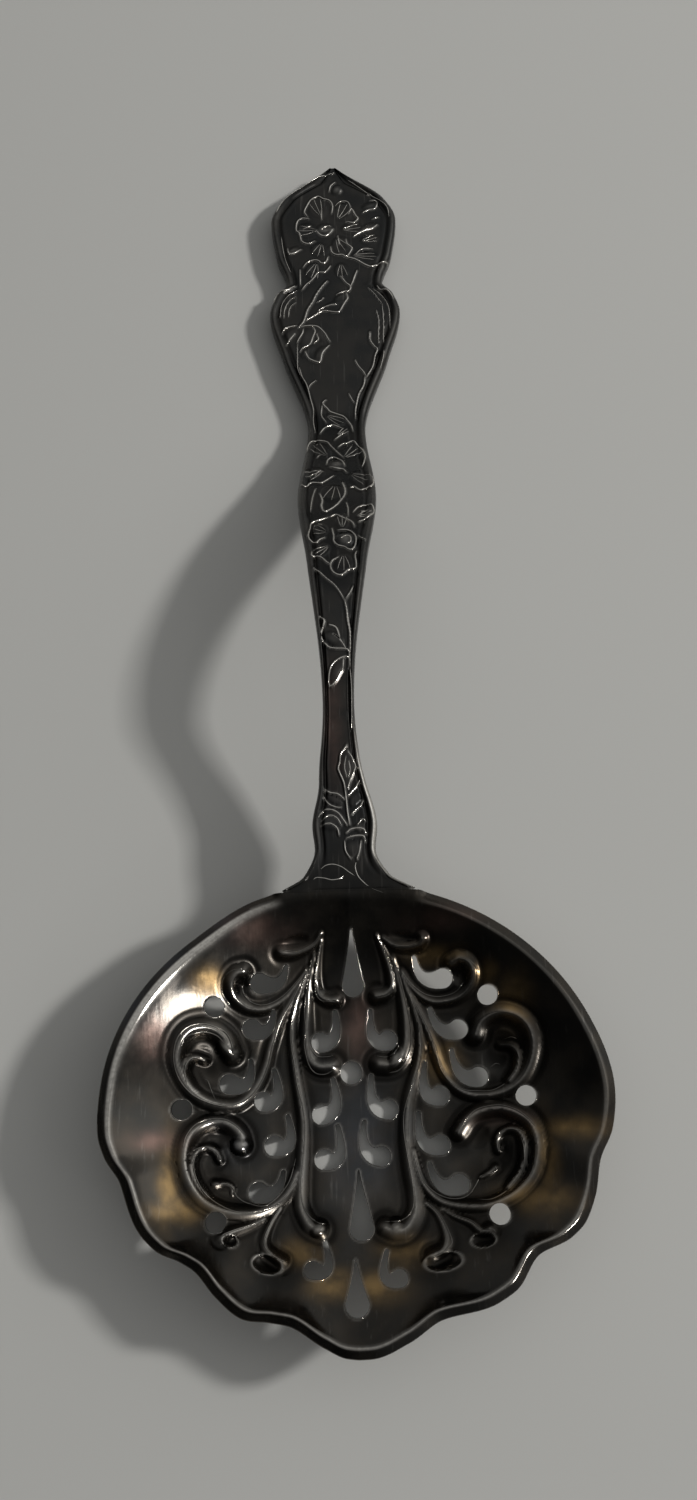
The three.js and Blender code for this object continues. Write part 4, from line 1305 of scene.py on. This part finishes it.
def upright_at(x, y, height_at):
    """The direction square to a surface, from its slopes across and along."""
    nudge = 0.03
    slope_x = (height_at(x + nudge, y) - height_at(x - nudge, y)) / (2 * nudge)
    slope_y = (height_at(x, y + nudge) - height_at(x, y - nudge)) / (2 * nudge)
    upright = np.column_stack([-slope_x, -slope_y, np.ones(len(x))])
    return upright / np.linalg.norm(upright, axis=1)[:, None]


def line_size(travelled, beads, closed):
    """The share of its width that a line has: thin at open ends, and swelling into grains."""
    size = np.ones(len(travelled))
    if not closed:
        from_end = np.minimum(travelled, travelled[-1] - travelled)
        size = np.sqrt(np.clip(from_end / line_end_length, 0.004, 1))
    if beads:
        size *= 0.78 + 0.22 * np.cos(2 * np.pi * travelled / beads)
    return size


def tube_faces(first, count, closed):
    """Cells between the ovals of one line, and a face at each end of an open one."""
    rows = first + np.arange(count) * oval_points
    last = rows if closed else rows[:-1]
    following = np.roll(rows, -1) if closed else rows[1:]
    faces = []
    for k in range(oval_points):
        after = (k + 1) % oval_points
        faces += np.column_stack([last + k, last + after, following + after, following + k]).tolist()
    if not closed:
        ends = np.arange(oval_points)
        faces += [(rows[0] + ends[::-1]).tolist(), (rows[-1] + ends).tolist()]
    return faces


def swept_lines(lines, height_at):
    """Carries an oval along every path, square to the path and upright on the surface."""
    x, y = np.vstack([line[0] for line in lines]).T
    middles = np.column_stack([x, y, height_at(x, y) + line_proud])
    uprights = upright_at(x, y, height_at)
    turn = 2 * np.pi * np.arange(oval_points) / oval_points
    points, faces, start, first = [], [], 0, 0
    for path, width, beads, closed in lines:
        count = len(path) - 1 if closed else len(path)
        middle = middles[start:start + count]
        upright = uprights[start:start + count]
        if closed:
            tangent = np.roll(middle, -1, axis=0) - np.roll(middle, 1, axis=0)
        else:
            tangent = np.gradient(middle, axis=0)
        side = np.cross(upright, tangent)
        side /= np.linalg.norm(side, axis=1)[:, None]
        steps = np.linalg.norm(np.diff(middle, axis=0), axis=1)
        travelled = np.append(0, np.cumsum(steps))
        half = (0.5 * width * line_size(travelled, beads, closed))[:, None]
        wide = half * np.cos(turn)
        tall = oval_flat * half * np.sin(turn)
        ring = middle[:, None] + side[:, None] * wide[..., None]
        ring += upright[:, None] * tall[..., None]
        points.append(ring.reshape(-1, 3))
        faces += tube_faces(first, count, closed)
        start += len(path)
        first += count * oval_points
    return np.vstack(points), faces


bowl_lines = new_piece("bowl_worn_lines", *swept_lines(scrolls.lines, bowl_height))
handle_lines = new_piece("handle_worn_and_highlight_lines", *swept_lines(flowers.lines, handle_surface))
for piece in (bowl_lines, handle_lines):
    smooth_faces(piece.data, 60)
    piece.data.calc_loop_triangles()
    print(piece.name, len(piece.data.loop_triangles), "triangles")

# %% [markdown]
# Old silver is dark where polish never reaches and bright where it always does. How worn a place
# is and how deep it lies are worked out from the relief and kept on the mesh as numbers, and so
# are the clouds of gold, rose and blue that tarnish makes where it is a thin film. The gold clouds
# on the lower right wall and the blue ones along the upper left ridge are painted reflection as
# well. A cloud is an oval: where it is, and how wide and how long.

# %% Clouds of tarnish
# Gold clouds: tarnish film; those on the lower right wall are painted reflection.
gold_film_and_reflection_clouds = [
    (9, -32.4, 3.0, 1.0), (14.7, -34.6, 1.2, 1.2), (17.5, -37.5, 1.6, 2.4), (22.5, -51, 3.4, 1.0),
    (20.3, -54.5, 0.9, 3.6), (18.6, -58, 3.4, 1.2), (5.0, -63, 2.2, 1.3), (-5.8, -63, 2.0, 1.1),
    (-19.6, -55.5, 0.9, 3.6), (-18, -58.4, 2.6, 1.2), (-15.4, -34.6, 1.6, 1.2), (2.0, -66.5, 2.4, 1.2),
    (9.5, -43.5, 1.8, 2.0), (-2.6, -66.2, 2.0, 1.2),
]
rose_clouds = [
    (0.6, -39.5, 1.6, 3.4), (9.5, -29.0, 3.5, 1.2), (-10, -29.5, 4, 1.6), (-21.5, -41, 1.6, 2.0),
    (-20.5, -51.5, 2.6, 1.0), (16, -49.8, 2.6, 0.8),
]
# Blue clouds: tarnish film; the three along the upper left ridge are painted reflection.
blue_film_and_reflection_clouds = [
    (0.8, -52, 4.6, 6.5), (-23.5, -37.5, 1.6, 3.5), (-13, -52, 2.5, 2.0), (-20, -32.8, 2.4, 2.4),
    (-15, -28.8, 3.0, 1.8),
]
shank_rose = [(-1.2, -8, 0.9, 5)]


def cloud(spots, x, y):
    """The strongest of several soft ovals, each falling off as a bell."""
    strength = np.zeros(len(x))
    for spot_x, spot_y, wide, tall in spots:
        spot = np.exp(-(((x - spot_x) / wide) ** 2) - ((y - spot_y - drawn_up) / tall) ** 2)
        strength = np.maximum(strength, spot)
    return strength


def edge_gap(outlines, x, y, reach=0.5):
    """How far each place is from the nearest outline, up to reach."""
    gap = np.full(len(x), reach)
    for outline in outlines:
        path = np.vstack([outline, outline[:1]])
        near = places_near(path, reach, x, y)
        if len(near):
            gap[near] = np.minimum(gap[near], nearest_on(path, x[near], y[near])[0])
    return gap


def keep(piece, name, values):
    """Stores one number for each point of a piece."""
    attribute = piece.data.attributes.new(name, "FLOAT", "POINT")
    attribute.data.foreach_set("value", np.asarray(values, dtype=np.float32))


print(len(gold_film_and_reflection_clouds) + len(rose_clouds) + len(blue_film_and_reflection_clouds), "clouds")

# %% [markdown]
# Wear, soot and painted highlights are laid on by place. On the bowl the ridge gets a painted
# highlight, broad at the upper left and thinner towards the front and left, over a little wear
# all round; the openings get wear and a painted glint on their edges, and the heel stays dark. On
# the handle the right edge of the neck gets a painted highlight. The fine lines keep a wear of
# their own and no soot; on the handle it is so high that it is a painted highlight as well.

# %% Wear, soot and painted highlights on the pieces
top_skin = 0.55
crest_wear = 0.35
front_ridge_highlight = 0.35
back_left_ridge_highlight = 0.57
ridge_wear = 0.08
opening_glint_and_wear = 0.2
heel_soot = 0.55
bowl_line_wear = 0.15
# The handle's fine lines carry wear and a painted highlight, which makes them nearly clean silver.
handle_line_wear_and_highlight = 0.8


def bell(distance, reach):
    """1 at distance 0, falling off as a bell on both sides."""
    return np.exp(-((distance / reach) ** 2))


def dress_bowl(piece, line_wear):
    """Wear on crests; wear and painted highlights on the ridge and round the openings; soot in ditches
    and scroll eyes.
    """
    x, y, z = points_of(piece.data).T
    angle, share = dish_share(x, y)
    crest, depth, shade = scrolls.relief(x, y)[1:]
    top = z > dish_height(angle, share) - top_skin
    broad = back_left(angle)
    front_left = soft_step(100, 60, np.degrees(angle))
    # The ridge gets a painted highlight, broad at the upper left and thinner towards the front and left,
    # over a little wear all round.
    ridge = bell(share - 0.998, 0.008 + 0.016 * broad) * (1 - heel_part(angle))
    ridge *= ridge_wear + front_ridge_highlight * front_left + back_left_ridge_highlight * broad
    # Round the openings: wear on the filed edge and a painted glint.
    opening = 1 - soft_step(0.05, 0.22, edge_gap(openings, x, y))
    worn = np.maximum.reduce([crest_wear * crest**6, ridge, opening_glint_and_wear * opening]) * top
    keep(piece, "worn", np.maximum(worn, line_wear))
    heel = heel_soot * bell(joint_y - y, 3.5) * (1 - soft_step(8, 14, np.abs(x)))
    soot = np.maximum.reduce([depth, 0.8 * shade, heel])
    keep(piece, "sooty", soot * top * (line_wear == 0))
    for name, spots in (("gold", gold_film_and_reflection_clouds), ("rose", rose_clouds), ("blue", blue_film_and_reflection_clouds)):
        keep(piece, name, cloud(spots, x, y))


def dress_handle(piece, line_wear):
    """Wear on crests and a painted highlight on the neck's right edge; soot in ditches, inside the
    border and at the root.
    """
    x, y, z = points_of(piece.data).T
    along = y - root_y
    half = half_width_at(along)
    gap = half - np.abs(x - lean_at(along))
    crest, depth = flowers.relief(x, y)[1:3]
    top = z > arch_top(along) - 0.5 * thickness_at(along)
    border = np.minimum(border_width, half / 3)
    rolled = bell(gap / border - 0.38, 0.16)
    ditch = bell(gap / border - 0.9, 0.2)
    # A painted highlight along the right edge of the neck, fading out along the shank.
    right_edge_highlight = bell(gap - 0.26, 0.2) * (x > lean_at(along)) * soft_step(20, 12, along)
    worn = np.maximum.reduce([0.5 * crest**4, 0.08 * rolled, right_edge_highlight]) * top
    keep(piece, "worn", np.maximum(worn, line_wear))
    root = heel_soot * bell(along, 4.5)
    soot = np.maximum.reduce([depth, 0.7 * ditch, root])
    keep(piece, "sooty", soot * top * (line_wear == 0))
    keep(piece, "rose", 0.5 * cloud(shank_rose, x, y))
    for name in ("gold", "blue"):
        keep(piece, name, np.zeros(len(x)))


dress_bowl(bowl, 0.0)
dress_bowl(bowl_lines, bowl_line_wear)
dress_handle(handle, 0.0)
dress_handle(handle_lines, handle_line_wear_and_highlight)
dress_handle(solder, 0.0)
print("wear and soot are on the meshes")
# %% [markdown]
# A finish is a small network of nodes. Its sums are written here as ordinary Python: a socket is
# wrapped in a class whose operators add Math nodes. Any other node comes from one method.

# %% Shader values as Python numbers


class Value:
    """A number that varies over a surface. Arithmetic on it adds Math nodes to its network."""

    def __init__(self, network, socket):
        self.network = network
        self.socket = socket

    def maths(self, operation, *values):
        """One Math node that works on the values in their order."""
        inputs = {i: value for i, value in enumerate(values)}
        return self.network.add("ShaderNodeMath", {"operation": operation}, inputs)

    def __add__(self, other):
        return self.maths("ADD", self, other)

    def __sub__(self, other):
        return self.maths("SUBTRACT", self, other)

    def __rsub__(self, other):
        return self.maths("SUBTRACT", other, self)

    def __mul__(self, other):
        return self.maths("MULTIPLY", self, other)

    __radd__ = __add__
    __rmul__ = __mul__

    def held(self, low=0.0, high=1.0):
        """This value, kept between low and high."""
        return self.maths("MINIMUM", self.maths("MAXIMUM", self, low), high)

    def step(self, start, end):
        """0 below start and 1 above end, with a smooth rise between."""
        settings = {"interpolation_type": "SMOOTHSTEP"}
        return self.network.add("ShaderNodeMapRange", settings, {"Value": self, 1: start, 2: end})


class Network:
    """The nodes of a material or of the world."""

    def __init__(self, tree):
        self.tree = tree
        tree.nodes.clear()

    def add(self, kind, settings=None, inputs=None, output=0):
        """Any node: its settings first, then a value or a link for each named socket."""
        node = self.tree.nodes.new(kind)
        for name, setting in (settings or {}).items():
            setattr(node, name, setting)
        for name, value in (inputs or {}).items():
            if isinstance(value, Value):
                self.tree.links.new(value.socket, node.inputs[name])
            else:
                node.inputs[name].default_value = value
        return Value(self, node.outputs[output]) if len(node.outputs) else node

    def mix(self, factor, a, b):
        """Colour a where factor is 0, b where it is 1."""
        return self.add("ShaderNodeMix", {"data_type": "RGBA"}, {0: factor, 6: a, 7: b}, output=2)

    def kept(self, name):
        """A number that was stored on the mesh."""
        return self.add("ShaderNodeAttribute", {"attribute_name": name}, output="Fac")

    def noise(self, scale, detail, stretch=(1, 1, 1)):
        """Smooth noise in the object's own metres, stretched along its axes."""
        place = self.add("ShaderNodeTexCoord", output="Object")
        place = self.add("ShaderNodeMapping", {}, {"Vector": place, "Scale": stretch})
        return self.add("ShaderNodeTexNoise", {}, {"Vector": place, "Scale": scale, "Detail": detail})


print("shader helpers are ready")

# %% [markdown]
# Tarnished silver is still a metal, so it stays metallic and mirrors the room, but its colour is
# dark. Wear, and the painted highlights stored with it, blend it to clean silver. Clouds tint it,
# some of them as painted reflection, soot takes light away, and fine scratches along the spoon
# break the reflection up. The recesses are also a little rougher.

# %% The finish of old silver
WORN_SILVER_AND_HIGHLIGHT = (0.80, 0.77, 0.72, 1)
SOOT = (0.012, 0.011, 0.010, 1)
GOLD_FILM_AND_REFLECTION = (0.80, 0.52, 0.22, 1)
ROSE = (0.30, 0.19, 0.16, 1)
BLUE_FILM_AND_REFLECTION = (0.13, 0.15, 0.19, 1)
scratch_depth = 0.00003


def old_silver(name, tarnish, brown, roughness, scratches):
    """Tarnish between two tones, with clouds of film and painted reflection, wear and painted
    highlights, soot and scratches.
    """
    material = bpy.data.materials.new(name)
    material.use_nodes = True
    net = Network(material.node_tree)
    patch = net.noise(scale=260, detail=4).step(0.35, 0.65)
    grain = net.noise(scale=2600, detail=2)
    streak = net.noise(scale=900, detail=3, stretch=(3.2, 0.22, 1))
    cloud_grain = (2.0 * net.noise(scale=420, detail=5) - 0.25).held()
    colour = net.mix(patch, tarnish, brown)
    # The gold and blue clouds tint with tarnish film and, in places, with painted reflection.
    for kind, strength, tone in (("gold", 0.65, GOLD_FILM_AND_REFLECTION), ("rose", 0.7, ROSE), ("blue", 0.3, BLUE_FILM_AND_REFLECTION)):
        colour = net.mix((net.kept(kind) * cloud_grain * strength).held(), colour, tone)
    scratched = (streak - 0.62).held() * 0.6
    # The stored wear also holds painted highlights, which this blend turns to clean silver.
    rubbed_and_highlight = (net.kept("worn") * (0.55 + 0.9 * grain) + scratched).held()
    colour = net.mix(rubbed_and_highlight, colour, WORN_SILVER_AND_HIGHLIGHT)
    sooty = net.kept("sooty")
    colour = net.mix((sooty * 0.85).held(), colour, SOOT)
    rough = (roughness + (patch - 0.5) * 0.08 + sooty * 0.15 - rubbed_and_highlight * 0.08).held(0.12, 0.8)
    height = streak * 0.7 + grain * 0.3
    relief = {"Height": height, "Strength": scratches, "Distance": scratch_depth}
    bump = net.add("ShaderNodeBump", {}, relief)
    inputs = {"Base Color": colour, "Metallic": 1.0, "Roughness": rough, "Normal": bump}
    surface = net.add("ShaderNodeBsdfPrincipled", {}, inputs)
    net.add("ShaderNodeOutputMaterial", {}, {"Surface": surface})
    return material


bowl_tones = (0.062, 0.060, 0.056, 1), (0.085, 0.076, 0.065, 1)
handle_tones = (0.041, 0.042, 0.042, 1), (0.058, 0.056, 0.053, 1)
solder_tones = (0.040, 0.039, 0.037, 1), (0.055, 0.052, 0.048, 1)
bowl_finish = old_silver("bowl_tarnish", *bowl_tones, roughness=0.16, scratches=0.25)
handle_finish = old_silver("handle_tarnish", *handle_tones, roughness=0.28, scratches=0.30)
solder_finish = old_silver("solder_tarnish", *solder_tones, roughness=0.35, scratches=0.3)
for piece, finish in (
    (bowl, bowl_finish), (bowl_lines, bowl_finish), (handle, handle_finish),
    (handle_lines, handle_finish), (solder, solder_finish),
):
    piece.data.materials.clear()
    piece.data.materials.append(finish)
print("finishes:", len(bpy.data.materials))

# %% [markdown]
# The pieces now take the places of the imported ones: each rides on the only body, and the
# imported piece that it stands for is hidden.

# %% Places in the frame
for piece, node, slot in (
    (bowl, "bowl", "bowl_silver"), (bowl_lines, "bowl", "bowl_silver"),
    (handle, "handle", "handle_silver"), (handle_lines, "handle", "handle_silver"),
    (solder, "solder_seam", "silver_solder"),
):
    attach(piece, "root")
    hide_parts(node)

# %% [markdown]
# The stage is a plain pale table, and the light is a soft one from high on the right, which throws
# the arch's shadow to the left. Dark silver shows little but what it mirrors, so the room is as
# important as the lamps: it is dim, paler overhead, behind the spoon and around the window. A
# second lamp is seen only as a reflection. It stands where a ray from the camera to the upper
# left of the bowl goes on to after the bowl has mirrored it.

# %% Table
table_mesh = bpy.data.meshes.new("table")
table_half = 1.5
table_top = -2e-5
table_corners = [
    (-table_half, -table_half, table_top), (table_half, -table_half, table_top),
    (table_half, table_half, table_top), (-table_half, table_half, table_top),
]
table_mesh.from_pydata(table_corners, [], [(0, 1, 2, 3)])
table = bpy.data.objects.new("table", table_mesh)
bpy.context.scene.collection.objects.link(table)
table_finish = bpy.data.materials.new("table_cloth_white")
table_finish.use_nodes = True
net = Network(table_finish.node_tree)
pale_cloth = {"Base Color": (0.57, 0.57, 0.555, 1), "Roughness": 0.9}
surface = net.add("ShaderNodeBsdfPrincipled", {}, pale_cloth)
net.add("ShaderNodeOutputMaterial", {}, {"Surface": surface})
table_mesh.materials.append(table_finish)
print("table ready")

# %% Light
lights = [
    ("window", (0.81, 0.15, 0.56), 0.09, 5.6, (1.0, 0.985, 0.95), True, False),
    ("side_window", (0.356, -0.343, 0.309), 0.08, 1.8, (1.0, 0.98, 0.95), False, True),
]
for name, place, size, power, colour, lights_table, mirrored in lights:
    data = bpy.data.lights.new(name, "AREA")
    data.size = size
    data.energy = power
    data.color = colour
    lamp = bpy.data.objects.new(name, data)
    bpy.context.scene.collection.objects.link(lamp)
    lamp.location = place
    lamp.visible_diffuse = lights_table
    lamp.visible_glossy = mirrored
    aim = -np.array(place)
    lamp.rotation_mode = "QUATERNION"
    lamp.rotation_quaternion = Vector(aim).to_track_quat("-Z", "Y")

world = bpy.data.worlds.new("room")
bpy.context.scene.world = world
world.use_nodes = True
net = Network(world.node_tree)
direction = net.add("ShaderNodeTexCoord", output="Generated")
across = net.add("ShaderNodeSeparateXYZ", {}, {0: direction}, output="X")
upward = net.add("ShaderNodeSeparateXYZ", {}, {0: direction}, output="Z")
behind = net.add("ShaderNodeSeparateXYZ", {}, {0: direction}, output="Y")
likeness = {"operation": "DOT_PRODUCT"}
to_window = {0: direction, 1: (0.84, 0.24, 0.485)}
window_glow = net.add("ShaderNodeVectorMath", likeness, to_window, output="Value")
strength = 0.03 + 0.75 * window_glow.step(0.90, 0.985) + 0.21 * across.step(-0.2, 0.9)
strength = strength + 0.17 * behind.step(-0.1, 0.6) + 0.25 * upward.step(0.5, 1.0)
shade = net.add("ShaderNodeBackground", {}, {"Color": (0.98, 0.98, 0.96, 1), "Strength": strength})
net.add("ShaderNodeOutputWorld", {}, {"Surface": shade})
bpy.context.scene.view_settings.view_transform = "Standard"
print("lights:", [row[0] for row in lights])
